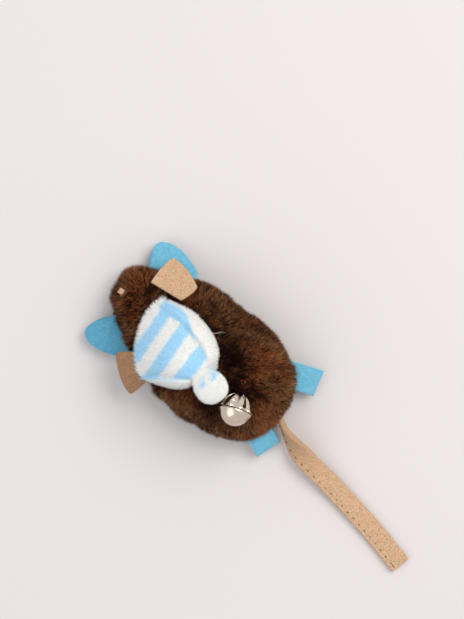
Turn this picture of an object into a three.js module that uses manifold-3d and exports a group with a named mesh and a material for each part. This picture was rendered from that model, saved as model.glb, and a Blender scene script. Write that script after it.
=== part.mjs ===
// Plush mouse toy: a stuffed fur bag with suede ears and tail, felt paws, a striped cap and a jingle bell.
// Millimetres, +Z up. The nose points along -Y, the tail along +Y, and the mouse's left side is +X.
// The origin is on the surface that the flat belly rests on, under the middle of the body.
import * as THREE from 'three';
import { mergeVertices } from 'three/addons/utils/BufferGeometryUtils.js';
import Module from 'manifold-3d';

const wasm = await Module();
wasm.setup();

// Sizes of the body
const bodyLength = 77.5;
const bodyWidth = 43.4;
const bodyHeight = 28.5;
const seamHeight = 7;
const pileThickness = 3.2;
const flatDepth = 0.5;
const seatGap = 0.32;
const overrun = 2;

// Sizes of the suede and felt pieces
const suedeThickness = 0.9;
const feltThickness = 1.2;
const earLength = 15;
const earReach = 12;
const earDroop = 5.2;
const leafLengthRight = 17.7;
const leafLengthLeft = 15.2;
const leafReachRight = 10.3;
const leafReachLeft = 11.6;
const leafDroop = 2.6;
const footWidth = 9.8;
const footReachRight = 8.6;
const footReachLeft = 6.6;
const footDroop = 2.8;
const noseWidth = 2.3;
const noseLength = 2.8;
const noseFoldShare = 0.6;
const noseWaistShare = 0.2;
const nosePlaceShares = { x: -0.032, y: 0.066 };
const droopPower = 1.4;
const seamClearance = 0.45;

// Sizes of the tail, one strip folded lengthwise
const tailLength = 72;
const tailWidth = 7.7;
const tailFoldGap = 0.3;
const tailBreakShare = 0.2;
const tailTwistShare = 0.32;
const tailRest = 0.12;
const tailSideShare = 0.023;

// Sizes of the cap
const hatWidthShare = 0.689;
const hatWidth = hatWidthShare * bodyWidth;
const hatLength = 28.8;
const hatHeight = 7;
const hatWall = 1.5;
const hatBulge = 6;
const hatSpread = 3;
const hatShelfShare = 0.6;
const hatShelfPower = 6;
const hatSideWallShare = 1.2;
const tieRadius = 0.42;
const stemRadius = 1.7;
const pompomRadius = 5.7;
const pompomWall = 1.5;
const pompomHeading = THREE.MathUtils.degToRad(74);
const pompomPleats = 12;
const pompomPleatShare = 0.07;
const threadRadius = 0.3;
const threadEndLength = 4.7;
const threadEndShare = 0.66;
const threadEndHeading = THREE.MathUtils.degToRad(127);

// Sizes of the bell
const bellRadius = 5.5;
const bellWall = 0.45;
const bellRim = 0.35;
const bellSlot = 0.9;
const bellSlotEnd = 0.8;
const bellSink = 1.9;
const bellPointShare = 1.12;
const bellCapShare = 0.3;
const bellTilt = THREE.MathUtils.degToRad(-12);
const bellHeading = THREE.MathUtils.degToRad(199);
const eyeRadius = 1.35;
const eyeWire = 0.4;
const eyeNest = 1.5;
const threadDip = 0.6;
const pelletRadius = 1.5;
const pelletTravelShare = 1.6;
const bellSteps = 7;
const bellSlotFootShare = 0.3;
const bellAway = THREE.MathUtils.degToRad(83);
const bellClearance = 0.75;

// Sizes of the filling
const catnipLength = 24;
const catnipWidth = 14;
const catnipHeight = 8;
const waddingSplit = 12;

// Colours and finishes
const furCloth = new THREE.MeshStandardMaterial({ color: 0x4d2a18, roughness: 0.95 });
const suede = new THREE.MeshStandardMaterial({ color: 0xc99f76, roughness: 0.9 });
const blueFelt = new THREE.MeshStandardMaterial({ color: 0x6fc3e0, roughness: 0.95 });
const stripedPlush = new THREE.MeshStandardMaterial({ color: 0xcfe3f4, roughness: 0.95 });
const whitePlush = new THREE.MeshStandardMaterial({ color: 0xf2f0ea, roughness: 0.95 });
const whiteThread = new THREE.MeshStandardMaterial({ color: 0xf4f2ec, roughness: 0.8 });
const nickel = new THREE.MeshStandardMaterial({ color: 0xc8bfb4, roughness: 0.25, metalness: 1 });
const fibre = new THREE.MeshStandardMaterial({ color: 0xf5f3ee, roughness: 1 });
const driedLeaf = new THREE.MeshStandardMaterial({ color: 0x7a7a45, roughness: 1 });

// How full the body is along its length, as shares: along, half width, crown over the seam, drift to one side
const bodyShares = [
  [0, 0.62, 0.6, 0.105],
  [0.155, 0.715, 0.72, 0.07],
  [0.232, 0.792, 0.8, 0.052],
  [0.335, 0.952, 0.92, 0.054],
  [0.445, 0.995, 0.98, 0.038],
  [0.594, 1.045, 1, 0.014],
  [0.71, 1.09, 1.03, 0.026],
  [0.852, 1.112, 1.05, 0.01],
  [0.916, 1.167, 1.07, 0.01],
  [1, 1.3, 1.1, 0.01],
];
const noseShare = 0.542;
const endPower = 2.4;
const backPower = 2.15;
const bellyPower = 2.6;
const slopeStepShare = 0.05;

const up = new THREE.Vector3(0, 0, 1);
const noseY = -noseShare * bodyLength;
const toy = new THREE.Group();
const hinges = {};

// A smooth curve through a column of a table of shares.
function shareAt(rows, column, along) {
  const x = THREE.MathUtils.clamp(along, rows[0][0], rows[rows.length - 1][0]);
  let i = 0;
  while (i < rows.length - 2 && x > rows[i + 1][0]) i += 1;
  const slope = (k) => {
    const a = rows[Math.max(k - 1, 0)];
    const b = rows[Math.min(k + 1, rows.length - 1)];
    return (b[column] - a[column]) / (b[0] - a[0]);
  };
  const span = rows[i + 1][0] - rows[i][0];
  const t = (x - rows[i][0]) / span;
  const rise = t * t * (3 - 2 * t);
  const start = t * (1 - t) * (1 - t) * span * slope(i);
  const end = t * t * (t - 1) * span * slope(i + 1);
  return rows[i][column] * (1 - rise) + rows[i + 1][column] * rise + start + end;
}

// A closed body from points and triangles: equal points are merged and the faces turned outwards.
function closed(points, faces) {
  const geometry = new THREE.BufferGeometry().setFromPoints(points);
  geometry.setIndex(faces);
  const merged = mergeVertices(geometry, 1e-4);
  const index = [...merged.index.array];
  const place = merged.attributes.position;
  const corner = (k) => new THREE.Vector3().fromBufferAttribute(place, k);
  const kept = [];
  let volume = 0;
  for (let f = 0; f < index.length; f += 3) {
    const [a, b, c] = index.slice(f, f + 3);
    if (a !== b && b !== c && c !== a) {
      kept.push([a, b, c]);
      volume += corner(a).dot(corner(b).cross(corner(c)));
    }
  }
  const outward = volume < 0 ? kept.map(([a, b, c]) => [a, c, b]) : kept;
  merged.setIndex(outward.flat());
  return merged;
}

// A closed skin over rings of points; the first and last ring are single points.
function skin(rings) {
  const points = rings.flat();
  const faces = [];
  let first = 0;
  for (let r = 0; r + 1 < rings.length; r += 1) {
    const near = rings[r].length;
    const far = rings[r + 1].length;
    const sides = Math.max(near, far);
    for (let k = 0; k < sides; k += 1) {
      const a = first + (k % near);
      const b = first + ((k + 1) % near);
      const c = first + near + (k % far);
      const d = first + near + ((k + 1) % far);
      faces.push(a, b, d, a, d, c);
    }
    first += near;
  }
  return closed(points, faces);
}

// A closed slab between two sheets of points, rows[i][j] on the front and on the back.
function slab(front, back) {
  const rows = front.length;
  const columns = front[0].length;
  const points = [...front.flat(), ...back.flat()];
  const at = (side, i, j) => side * rows * columns + i * columns + j;
  const faces = [];
  const quad = (a, b, c, d) => faces.push(a, b, c, a, c, d);
  for (let i = 0; i + 1 < rows; i += 1) {
    for (let j = 0; j + 1 < columns; j += 1) {
      quad(at(0, i, j), at(0, i, j + 1), at(0, i + 1, j + 1), at(0, i + 1, j));
      quad(at(1, i, j), at(1, i + 1, j), at(1, i + 1, j + 1), at(1, i, j + 1));
    }
    quad(at(0, i, 0), at(0, i + 1, 0), at(1, i + 1, 0), at(1, i, 0));
    const last = columns - 1;
    quad(at(0, i, last), at(1, i, last), at(1, i + 1, last), at(0, i + 1, last));
  }
  for (let j = 0; j + 1 < columns; j += 1) {
    quad(at(0, 0, j), at(1, 0, j), at(1, 0, j + 1), at(0, 0, j + 1));
    quad(at(0, rows - 1, j), at(0, rows - 1, j + 1), at(1, rows - 1, j + 1), at(1, rows - 1, j));
  }
  return closed(points, faces);
}

// A sheet of even thickness over place(u, v), with rows along u and columns along v.
function sheet(place, thickness, rows, columns) {
  const step = 1e-3;
  const front = [];
  const back = [];
  for (let i = 0; i <= rows; i += 1) {
    front.push([]);
    back.push([]);
    for (let j = 0; j <= columns; j += 1) {
      const u = i / rows;
      const v = j / columns;
      const along = place(Math.min(u + step, 1), v).sub(place(Math.max(u - step, 0), v));
      const across = place(u, Math.min(v + step, 1)).sub(place(u, Math.max(v - step, 0)));
      const normal = along.cross(across).normalize().multiplyScalar(thickness / 2);
      front[i].push(place(u, v).add(normal));
      back[i].push(place(u, v).sub(normal));
    }
  }
  return slab(front, back);
}

function toSolid(geometry) {
  const bare = geometry.clone();
  bare.deleteAttribute('normal');
  bare.deleteAttribute('uv');
  const merged = mergeVertices(bare, 1e-4);
  const vertProperties = new Float32Array(merged.attributes.position.array);
  const triVerts = new Uint32Array(merged.index.array);
  return new wasm.Manifold(new wasm.Mesh({ numProp: 3, vertProperties, triVerts }));
}

function toGeometry(solid) {
  const mesh = solid.getMesh();
  const geometry = new THREE.BufferGeometry();
  geometry.setAttribute('position', new THREE.BufferAttribute(mesh.vertProperties, 3));
  geometry.setIndex(new THREE.BufferAttribute(mesh.triVerts, 1));
  geometry.computeVertexNormals();
  return geometry;
}

// All space on one side of a plane across an axis, as far out as the object reaches.
function beyond(axis, from, side) {
  const reach = 2 * (bodyLength + tailLength);
  const box = new THREE.BoxGeometry(reach, reach, reach);
  const shift = new THREE.Vector3();
  shift[axis] = from + (side * reach) / 2;
  box.translate(shift.x, shift.y, shift.z);
  return toSolid(box);
}

function add(name, geometry, material, parent = toy) {
  const mesh = new THREE.Mesh(geometry, material);
  mesh.name = name;
  parent.add(mesh);
  return mesh;
}

// The body's cross-section at a place along it, drawn in by an inset.
function bodyAt(y, inset = 0) {
  const along = (y - noseY - inset) / (bodyLength - 2 * inset);
  const round = Math.max(0, 1 - Math.abs(2 * along - 1) ** endPower) ** (1 / endPower);
  return {
    middle: -shareAt(bodyShares, 3, along) * bodyWidth,
    half: (bodyWidth / 2 - inset) * round * shareAt(bodyShares, 1, along),
    crown: (bodyHeight - seamHeight - inset) * round * shareAt(bodyShares, 2, along),
    sag: (seamHeight + flatDepth - inset) * round ** (1 / 2),
  };
}

function bodySolid(inset, rings, sides) {
  const loft = [];
  for (let i = 0; i <= rings; i += 1) {
    const along = (1 - Math.cos((Math.PI * i) / rings)) / 2;
    const y = noseY + inset + along * (bodyLength - 2 * inset);
    const section = bodyAt(y, inset);
    const ring = [];
    const points = section.half > 0 ? sides : 1;
    for (let k = 0; k < points; k += 1) {
      const angle = (2 * Math.PI * k) / sides;
      const power = 2 / (Math.sin(angle) >= 0 ? backPower : bellyPower);
      const across = Math.sign(Math.cos(angle)) * Math.abs(Math.cos(angle)) ** power;
      const high = Math.sign(Math.sin(angle)) * Math.abs(Math.sin(angle)) ** power;
      const tall = high >= 0 ? section.crown : section.sag;
      ring.push(new THREE.Vector3(section.middle + across * section.half, y, seamHeight + high * tall));
    }
    loft.push(ring);
  }
  return toSolid(skin(loft));
}

// Height of the back over the floor.
function backHeight(x, y, spread = 0) {
  const section = bodyAt(y);
  const side = Math.min(1, Math.abs(x - section.middle) / (section.half + spread));
  return seamHeight + section.crown * (1 - side ** backPower) ** (1 / backPower);
}

// Height of the seat of the cap, whose cloth follows the back and bridges what falls away beside it.
function hatSeat(x, y) {
  const crown = bodyAt(y).crown;
  const share = (backHeight(x, y, hatSpread) - seamHeight) / crown;
  const blend = (share ** hatShelfPower + hatShelfShare ** hatShelfPower) ** (1 / hatShelfPower);
  return seamHeight + crown * blend + seatGap;
}

// A point held over the back at a distance measured square to it.
function overBack(x, y, distance) {
  const step = slopeStepShare * seamHeight;
  const slopeX = (backHeight(x + step, y) - backHeight(x - step, y)) / (2 * step);
  const slopeY = (backHeight(x, y + step) - backHeight(x, y - step)) / (2 * step);
  return new THREE.Vector3(x, y, backHeight(x, y) + distance * Math.hypot(1, slopeX, slopeY));
}

// Where a line at seam height from inside the body to a point outside leaves the fur, with the seat gap.
function leaveBody(inner, outer) {
  let low = 0;
  let high = 1;
  for (let i = 0; i < 24; i += 1) {
    const share = (low + high) / 2;
    const spot = inner.clone().lerp(outer, share);
    const section = bodyAt(spot.y);
    const inside = Math.abs(spot.x - section.middle) < section.half;
    if (inside) low = share;
    else high = share;
  }
  const direction = outer.clone().sub(inner).normalize();
  return inner.clone().lerp(outer, low).addScaledVector(direction, seamClearance);
}

// Body: two fur panels over two wads of fibre with the catnip between them
function makeBody() {
  const dimple = new THREE.SphereGeometry(bellRadius + bellRim + 2 * seatGap, 24, 12);
  dimple.translate(bellPlace.x, bellPlace.y, bellPlace.z);
  const nest = new THREE.SphereGeometry(1, 20, 10);
  const nestRadius = eyeRadius + eyeWire + 4 * threadRadius + seatGap;
  nest.scale(nestRadius, nestRadius, eyeNest);
  const nestShift = 2 * threadRadius;
  nest.translate(eyeCentre.x + nestShift * bellPole.x, eyeCentre.y + nestShift * bellPole.y, eyeCentre.z);
  const outer = bodySolid(0, 28, 36).intersect(beyond('z', 0, 1));
  const shell = outer.subtract(bodySolid(pileThickness, 20, 24));
  const whole = shell.intersect(beyond('z', seamHeight + seatGap / 2, 1));
  const back = whole.subtract(toSolid(dimple)).subtract(toSolid(nest));
  const belly = shell.intersect(beyond('z', seamHeight - seatGap / 2, -1));
  add('back_panel', toGeometry(back), furCloth);
  add('belly_panel', toGeometry(belly), furCloth);

  const wadding = bodySolid(pileThickness + 1.5 * seatGap, 20, 24);
  const pocket = new THREE.SphereGeometry(1, 20, 12);
  pocket.scale(catnipWidth / 2 + seatGap, catnipLength / 2 + seatGap, catnipHeight / 2 + seatGap);
  pocket.translate(0, 0, waddingSplit);
  const hollowed = wadding.subtract(toSolid(pocket));
  const upper = hollowed.intersect(beyond('z', waddingSplit + seatGap / 2, 1));
  const lower = hollowed.intersect(beyond('z', waddingSplit - seatGap / 2, -1));
  add('stuffing_upper', toGeometry(upper), fibre);
  add('stuffing_lower', toGeometry(lower), fibre);

  const catnip = new THREE.SphereGeometry(1, 18, 10);
  catnip.scale(catnipWidth / 2, catnipLength / 2, catnipHeight / 2);
  add('catnip_fill', catnip, driedLeaf).position.set(0, 0, waddingSplit);
}

// Nose: a suede tab folded over at its front end and sewn on top of the snout
function makeNose() {
  const foldRadius = noseFoldShare * suedeThickness;
  const straight = noseLength - foldRadius - suedeThickness / 2;
  const loop = 2 * straight + Math.PI * foldRadius;
  const place = (u, v) => {
    const run = v * loop;
    const across = noseWidth * (u - 0.5) * (1 - noseWaistShare * Math.sin(Math.PI * v));
    if (run <= straight) return new THREE.Vector3(across, straight - run, 0);
    if (run >= loop - straight) return new THREE.Vector3(across, straight - (loop - run), 2 * foldRadius);
    const turn = (run - straight) / foldRadius;
    return new THREE.Vector3(across, -foldRadius * Math.sin(turn), foldRadius * (1 - Math.cos(turn)));
  };
  const tab = add('nose', sheet(place, suedeThickness, 4, 12), suede);
  const spot = new THREE.Vector2(nosePlaceShares.x * bodyWidth, noseY + nosePlaceShares.y * bodyLength);
  const far = overBack(spot.x, spot.y + straight, 0);
  tab.position.copy(overBack(spot.x, spot.y, seatGap + suedeThickness / 2));
  tab.rotation.x = Math.atan2(far.z - overBack(spot.x, spot.y, 0).z, straight);
}

// Ears: four-sided suede pieces from a root line on the head out to a free edge that droops.
// The root starts beside the cap's corner: places are shares across the cap's width and along the body.
// Corners of the free edge are shares: along the ear from the front of its root, and out from the root.
const earBulgeShare = 0.1;
const earSides = {
  right: {
    side: -1, heading: 186.7, placeShares: [-0.032, 0.14], rootShare: 0.91, frontShares: [0.13, 1],
    rearShares: [1.07, 0.56], droopShare: 0.84, lift: [0, 60],
  },
  left: {
    side: 1, heading: -34.5, placeShares: [-0.226, 0.289], rootShare: 0.74, frontShares: [-0.15, 0.66],
    rearShares: [0.97, 0.66], droopShare: 1, lift: [-8, 14],
  },
};

function makeEar(name, shape) {
  const { side, heading, placeShares, rootShare, frontShares, rearShares, droopShare, lift } = shape;
  const turn = THREE.MathUtils.degToRad(heading);
  const outward = new THREE.Vector2(Math.cos(turn), Math.sin(turn));
  const rearward = new THREE.Vector2(-outward.y, outward.x).multiplyScalar(side);
  const corner = (side < 0 ? hatRight : hatLeft).getPoint(0);
  const origin = new THREE.Vector2(corner.x + placeShares[0] * hatWidth, noseY + placeShares[1] * bodyLength);
  const clear = suedeThickness / 2 + seatGap;
  const spotAt = (along, out) => origin.clone()
    .addScaledVector(rearward, along * earLength).addScaledVector(outward, out * earReach);
  const place = (u, v) => {
    const seat = spotAt(rootShare * u, 0);
    const freeAlong = THREE.MathUtils.lerp(frontShares[0], rearShares[0], u);
    const freeOut = THREE.MathUtils.lerp(frontShares[1], rearShares[1], u);
    const bulge = 4 * earBulgeShare * u * (1 - u);
    const spot = seat.clone().lerp(spotAt(freeAlong, freeOut + bulge), v);
    const drooping = overBack(seat.x, seat.y, clear).z - droopShare * earDroop * v ** droopPower;
    return new THREE.Vector3(spot.x, spot.y, drooping);
  };
  add(name, sheet(place, suedeThickness, 8, 7), suede);
  const axis = place(1, 0).sub(place(0, 0)).normalize().multiplyScalar(-side);
  hinges[`${name}_fold`] = { at: place(0, 0).lerp(place(1, 0), 0.5), axis, range: lift };
}

// Paws: felt leaves and rectangles held in the seam, from place to free edge
function makeFlap(name, { inner, free, droop, lift }) {
  const place = (u, v) => {
    const edge = free(u);
    const seat = leaveBody(inner(u), edge);
    const spot = seat.lerp(edge, v);
    return new THREE.Vector3(spot.x, spot.y, seamHeight - droop * v ** droopPower);
  };
  add(name, sheet(place, feltThickness, 10, 6), blueFelt);
  const front = place(0, 0);
  const rear = place(1, 0);
  const middle = front.clone().lerp(rear, 0.5);
  const outward = place(0.5, 1).sub(middle);
  const axis = rear.clone().sub(front).normalize();
  const lifts = axis.clone().cross(outward).z > 0;
  hinges[`${name}_flap`] = { at: middle, axis: lifts ? axis : axis.negate(), range: lift };
}

const leafShares = [
  [0.02, 0.3], [0.02, 0.66], [0.1, 0.95], [0.34, 1], [0.64, 0.78], [0.87, 0.42], [1, 0.14],
];
const leafSides = {
  right: { side: -1, heading: 116.4, placeShares: [-0.313, 0.09], length: leafLengthRight, reach: leafReachRight },
  left: { side: 1, heading: 59.8, placeShares: [0.182, 0.085], length: leafLengthLeft, reach: leafReachLeft },
};
const leafRootShares = [0.06, 0.94];

function makeLeaf(name, { side, heading, placeShares, length, reach }) {
  const turn = THREE.MathUtils.degToRad(heading);
  const rearward = new THREE.Vector2(Math.cos(turn), Math.sin(turn));
  const outward = new THREE.Vector2(rearward.y, -rearward.x).multiplyScalar(side);
  const start = new THREE.Vector2(placeShares[0] * bodyWidth, noseY + placeShares[1] * bodyLength);
  const edge = new THREE.SplineCurve(leafShares.map(([along, out]) => start.clone()
    .addScaledVector(rearward, along * length).addScaledVector(outward, out * reach)));
  const inner = (u) => {
    const along = THREE.MathUtils.lerp(...leafRootShares, u) * length;
    return start.clone().addScaledVector(rearward, along).addScaledVector(outward, -reach / 2);
  };
  makeFlap(name, { inner, free: (u) => edge.getPointAt(u), droop: leafDroop, lift: [-12, 35] });
}

const footSides = {
  right: { heading: 110, endShares: [-0.412, 1.043], skewShare: -0.1, reach: footReachRight },
  left: { heading: 66, endShares: [0.275, 1.044], skewShare: 0.08, reach: footReachLeft },
};

function makeFoot(name, { heading, endShares, skewShare, reach }) {
  const turn = THREE.MathUtils.degToRad(heading);
  const outward = new THREE.Vector2(Math.cos(turn), Math.sin(turn));
  const across = new THREE.Vector2(outward.y, -outward.x);
  const end = new THREE.Vector2(endShares[0] * bodyWidth, noseY + endShares[1] * bodyLength);
  const edge = (u) => end.clone().addScaledVector(across, footWidth * (u - 0.5))
    .addScaledVector(outward, skewShare * footWidth * (u - 0.5));
  const inner = (u) => end.clone().addScaledVector(across, footWidth * (u - 0.5))
    .addScaledVector(outward, -2 * reach);
  makeFlap(name, { inner, free: edge, droop: footDroop, lift: [-12, 34] });
}

// Tail: a strip folded lengthwise, standing on edge at the rump and lying flat on the floor further on
const tailRouteShares = [
  [0, 0, 1], [0.026, 0.048, 0.96], [0.066, 0.165, 0.76], [0.087, 0.253, 0.5], [0.104, 0.388, 0.24],
  [0.13, 0.532, 0.08], [0.165, 0.716, 0], [0.215, 0.922, 0],
];

function makeTail() {
  const restHeight = suedeThickness + tailFoldGap / 2 + tailRest;
  const side = tailSideShare * bodyWidth;
  const root = leaveBody(new THREE.Vector2(side, 0), new THREE.Vector2(side, bodyLength));
  const route = new THREE.CatmullRomCurve3(tailRouteShares.map(([across, along, high]) => new THREE.Vector3(
    root.x + across * tailLength, root.y + along * tailLength + seatGap,
    restHeight + high * (seamHeight - restHeight))));
  const half = suedeThickness + tailFoldGap / 2;
  const bend = tailWidth / 2 - half;
  const fold = (radius) => {
    const outline = [[-tailWidth / 2, -radius], [-tailWidth / 6, -radius], [bend, -radius]];
    for (const share of [0.25, 0.5, 0.75]) {
      const angle = Math.PI * (share - 0.5);
      outline.push([bend + radius * Math.cos(angle), radius * Math.sin(angle)]);
    }
    outline.push([bend, radius], [-tailWidth / 6, radius], [-tailWidth / 2, radius]);
    return outline;
  };
  const frameAt = (share) => {
    const tangent = route.getTangentAt(share);
    const level = new THREE.Vector3().crossVectors(up, tangent).normalize();
    const rise = new THREE.Vector3().crossVectors(tangent, level);
    const twist = (Math.PI / 2) * (1 - THREE.MathUtils.smoothstep(share, 0, tailTwistShare));
    const wide = level.clone().multiplyScalar(Math.cos(twist)).addScaledVector(rise, Math.sin(twist));
    const thick = rise.clone().multiplyScalar(Math.cos(twist)).addScaledVector(level, -Math.sin(twist));
    return { centre: route.getPointAt(share), wide, thick, level };
  };
  const strip = (from, to, steps) => {
    const sheets = [half, tailFoldGap / 2].map((radius) => {
      const rows = [];
      for (let i = 0; i <= steps; i += 1) {
        const { centre, wide, thick } = frameAt(from + ((to - from) * i) / steps);
        const outline = fold(radius);
        rows.push(outline.map(([a, b]) => centre.clone().addScaledVector(wide, a).addScaledVector(thick, b)));
      }
      return rows;
    });
    return slab(...sheets);
  };
  const gapShare = seatGap / tailLength;
  add('tail_root', strip(0, tailBreakShare, 10), suede);
  add('tail_blade', strip(tailBreakShare + gapShare, 1, 22), suede);
  const knuckle = frameAt(tailBreakShare + gapShare / 2);
  hinges.tail_swing = { at: frameAt(0).centre, axis: up, range: [-4, 45] };
  hinges.tail_lift = {
    at: knuckle.centre.clone().addScaledVector(up, (tailWidth / 2) * knuckle.wide.z + half * knuckle.thick.z),
    axis: knuckle.level.clone().negate(),
    range: [0, 70],
  };
}

// Cap: a flattened plush cone, open where it sits on the head, with its sides rolled over the crown
const hatPlaceShares = { x: 0.1065, y: 0.3174 };
const hatRightShares = [
  [-0.462, -0.195], [-0.535, 0.162], [-0.516, 0.318], [-0.478, 0.477],
  [-0.4, 0.59], [-0.27, 0.655], [-0.134, 0.66],
];
const hatLeftShares = [[0.463, 0.195], [0.368, 0.444], [0.288, 0.545], [0.18, 0.605], [0.061, 0.625]];
const hatRiseShares = [[0, 0.42], [0.12, 0.72], [0.35, 1], [0.7, 0.96], [1, 0.84]];
// Waves in the cap's cloth, as shares: where across, how wide, how much higher
const hatWaveShares = [[-0.6, 0.12, -0.24], [-0.8, 0.14, 0.1], [0.3, 0.5, -0.08]];
const hatWaveStartShare = 0.12;
const hatRollPower = 3.2;
const mouthShare = 0.5;
const hatFoldShare = 0.495;

const hatSpot = ([x, y]) => new THREE.Vector2(
  hatPlaceShares.x * bodyWidth + x * hatWidth, noseY + hatPlaceShares.y * bodyLength + y * hatLength);
const hatRight = new THREE.SplineCurve(hatRightShares.map(hatSpot));
const hatLeft = new THREE.SplineCurve(hatLeftShares.map(hatSpot));
const hatChord = hatLeft.getPoint(0).sub(hatRight.getPoint(0)).normalize();
const hatForward = new THREE.Vector2(hatChord.y, -hatChord.x);

function hatPlan(along, across) {
  const spot = hatRight.getPointAt(along).lerp(hatLeft.getPointAt(along), (across + 1) / 2);
  return spot.addScaledVector(hatForward, hatBulge * (1 - across * across) * (1 - along) ** 1.5);
}

// Height of the cap's cloth over its seat: a rolled edge all round and a valley inside the right-hand roll.
function hatSwell(along, across) {
  const rolled = (1 - Math.abs(across) ** hatRollPower) ** (1 / 2);
  const middle = Math.sin(Math.PI * Math.min(1, along + hatWaveStartShare));
  let waves = 0;
  for (const [at, wide, high] of hatWaveShares) waves += high * Math.exp(-(((across - at) / wide) ** 2));
  return rolled * (1 + middle * waves);
}

function hatSolid(wall, rows, columns) {
  const front = [];
  const back = [];
  const trim = wall / (hatWidth / 2);
  for (let i = 0; i <= rows; i += 1) {
    const along = wall ? -trim / 4 + (i / rows) * (1 + trim / 2) : i / rows;
    const held = THREE.MathUtils.clamp(along, 0, 1);
    front.push([]);
    back.push([]);
    for (let j = 0; j <= columns; j += 1) {
      const across = -Math.cos((Math.PI * j) / columns);
      const width = hatRight.getPointAt(held).distanceTo(hatLeft.getPointAt(held));
      const narrow = 1 - (2 * hatSideWallShare * wall) / width;
      const nearBrim = wall ? Math.max(trim, held) : held;
      const spot = hatPlan(nearBrim, across * narrow);
      if (wall && along > 1) spot.addScaledVector(new THREE.Vector2(0, 1), overrun);
      const seat = hatSeat(spot.x, spot.y);
      const rise = hatHeight * shareAt(hatRiseShares, 1, held) - 2 * wall;
      const mouth = wall && held < mouthShare;
      front[i].push(new THREE.Vector3(spot.x, spot.y, seat + wall + rise * hatSwell(held, across)));
      back[i].push(new THREE.Vector3(spot.x, spot.y, mouth ? seat - overrun : seat + wall));
      if (mouth && Math.abs(across) > 1 - 1e-9) front[i][j].z = seat + wall;
    }
  }
  return toSolid(slab(front, back));
}

// The pom-pom lies against the end of the cap and the bell against the pom-pom.
const pompomWay = new THREE.Vector2(Math.cos(pompomHeading), Math.sin(pompomHeading));
const pompomReach = pompomRadius + 2 * tieRadius;
const hatNeck = hatPlan(1, 0).addScaledVector(pompomWay, 2 * tieRadius + seatGap / 2);
const pompomSpot = hatNeck.clone().addScaledVector(pompomWay, pompomReach);
const bellWay = new THREE.Vector2(Math.cos(bellAway), Math.sin(bellAway));
const bellSpot = pompomSpot.clone().addScaledVector(bellWay, pompomRadius + bellRadius + bellClearance);
const bellPlace = overBack(bellSpot.x, bellSpot.y, bellRadius - bellSink);
const bellPole = new THREE.Vector3(
  Math.cos(bellTilt) * Math.cos(bellHeading), Math.cos(bellTilt) * Math.sin(bellHeading), Math.sin(bellTilt));
const eyeReach = bellPointShare * bellRadius + seatGap + eyeRadius + eyeWire;
const eyeCentre = bellPlace.clone().addScaledVector(bellPole, eyeReach);

function makeHat() {
  const shell = hatSolid(0, 24, 18).subtract(hatSolid(hatWall, 18, 12));
  const foldY = noseY + hatFoldShare * bodyLength;
  add('hat_crown', toGeometry(shell.intersect(beyond('y', foldY - seatGap / 2, -1))), stripedPlush);
  add('hat_tip', toGeometry(shell.intersect(beyond('y', foldY + seatGap / 2, 1))), stripedPlush);
  const foldX = hatPlan(0.75, 0).x;
  const foldTop = hatSeat(foldX, foldY) + hatHeight;
  hinges.hat_flop = {
    at: new THREE.Vector3(foldX, foldY, foldTop),
    axis: new THREE.Vector3(1, 0, 0),
    range: [0, 30],
  };

  // Pom-pom: the end of the cap gathered round a fibre ball, with the thread wound round its neck
  const centre = overBack(pompomSpot.x, pompomSpot.y, pompomRadius + seatGap);
  const start = new THREE.Vector3(hatNeck.x, hatNeck.y, hatSeat(hatNeck.x, hatNeck.y) + hatHeight / 2);
  const axis = centre.clone().sub(start).normalize();
  const pouch = new THREE.Group();
  pouch.position.copy(centre);
  pouch.quaternion.setFromUnitVectors(up, axis.clone().negate());
  toy.add(pouch);
  const profile = (radius, neckRadius, neckEnd) => {
    const points = [new THREE.Vector2(0, -radius)];
    for (let i = 1; i <= 9; i += 1) {
      const angle = -Math.PI / 2 + (i / 10) * Math.PI;
      points.push(new THREE.Vector2(radius * Math.cos(angle), radius * Math.sin(angle)));
    }
    points.push(new THREE.Vector2(neckRadius, radius + tieRadius), new THREE.Vector2(neckRadius, neckEnd));
    return points;
  };
  const outside = profile(pompomRadius, stemRadius, pompomReach);
  const inside = profile(pompomRadius - pompomWall, stemRadius / 2, pompomReach).reverse();
  const pleats = new THREE.LatheGeometry([...outside, ...inside], 24);
  const skinPlaces = pleats.attributes.position;
  for (let i = 0; i < skinPlaces.count; i += 1) {
    const spot = new THREE.Vector3().fromBufferAttribute(skinPlaces, i);
    const onBall = spot.y < pompomRadius ? THREE.MathUtils.smoothstep(spot.y, 0, pompomRadius) : 0;
    const gather = 1 + onBall * pompomPleatShare * Math.cos(pompomPleats * Math.atan2(spot.x, spot.z));
    skinPlaces.setXYZ(i, spot.x * gather, spot.y, spot.z * gather);
  }
  pleats.rotateX(Math.PI / 2);
  add('pompom', closedFrom(pleats), whitePlush, pouch);
  const wad = new THREE.SphereGeometry(pompomRadius - pompomWall - seatGap, 14, 9);
  add('pompom_filling', closedFrom(wad), fibre, pouch);
  const tie = new THREE.TorusGeometry(stemRadius + seatGap + tieRadius, tieRadius, 8, 20);
  add('hat_tie', closedFrom(tie), whiteThread, pouch).position.z = pompomReach - tieRadius;
  hinges.pompom_wobble = { at: start.clone(), axis: up, range: [-12, 12] };

  // The end of the thread that tacks the cap to the back
  const from = hatPlan(threadEndShare, -1).addScaledVector(hatChord, -3 * threadRadius);
  const away = new THREE.Vector2(Math.cos(threadEndHeading), Math.sin(threadEndHeading));
  const path = [0, 0.35, 0.7, 1].map((share) => {
    const spot = from.clone().addScaledVector(away, threadEndLength * share);
    return overBack(spot.x, spot.y, 2 * threadRadius + seatGap + threadRadius * Math.sin(Math.PI * share));
  });
  add('hat_thread_end', tube(path, threadRadius, 10), whiteThread);
}

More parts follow.
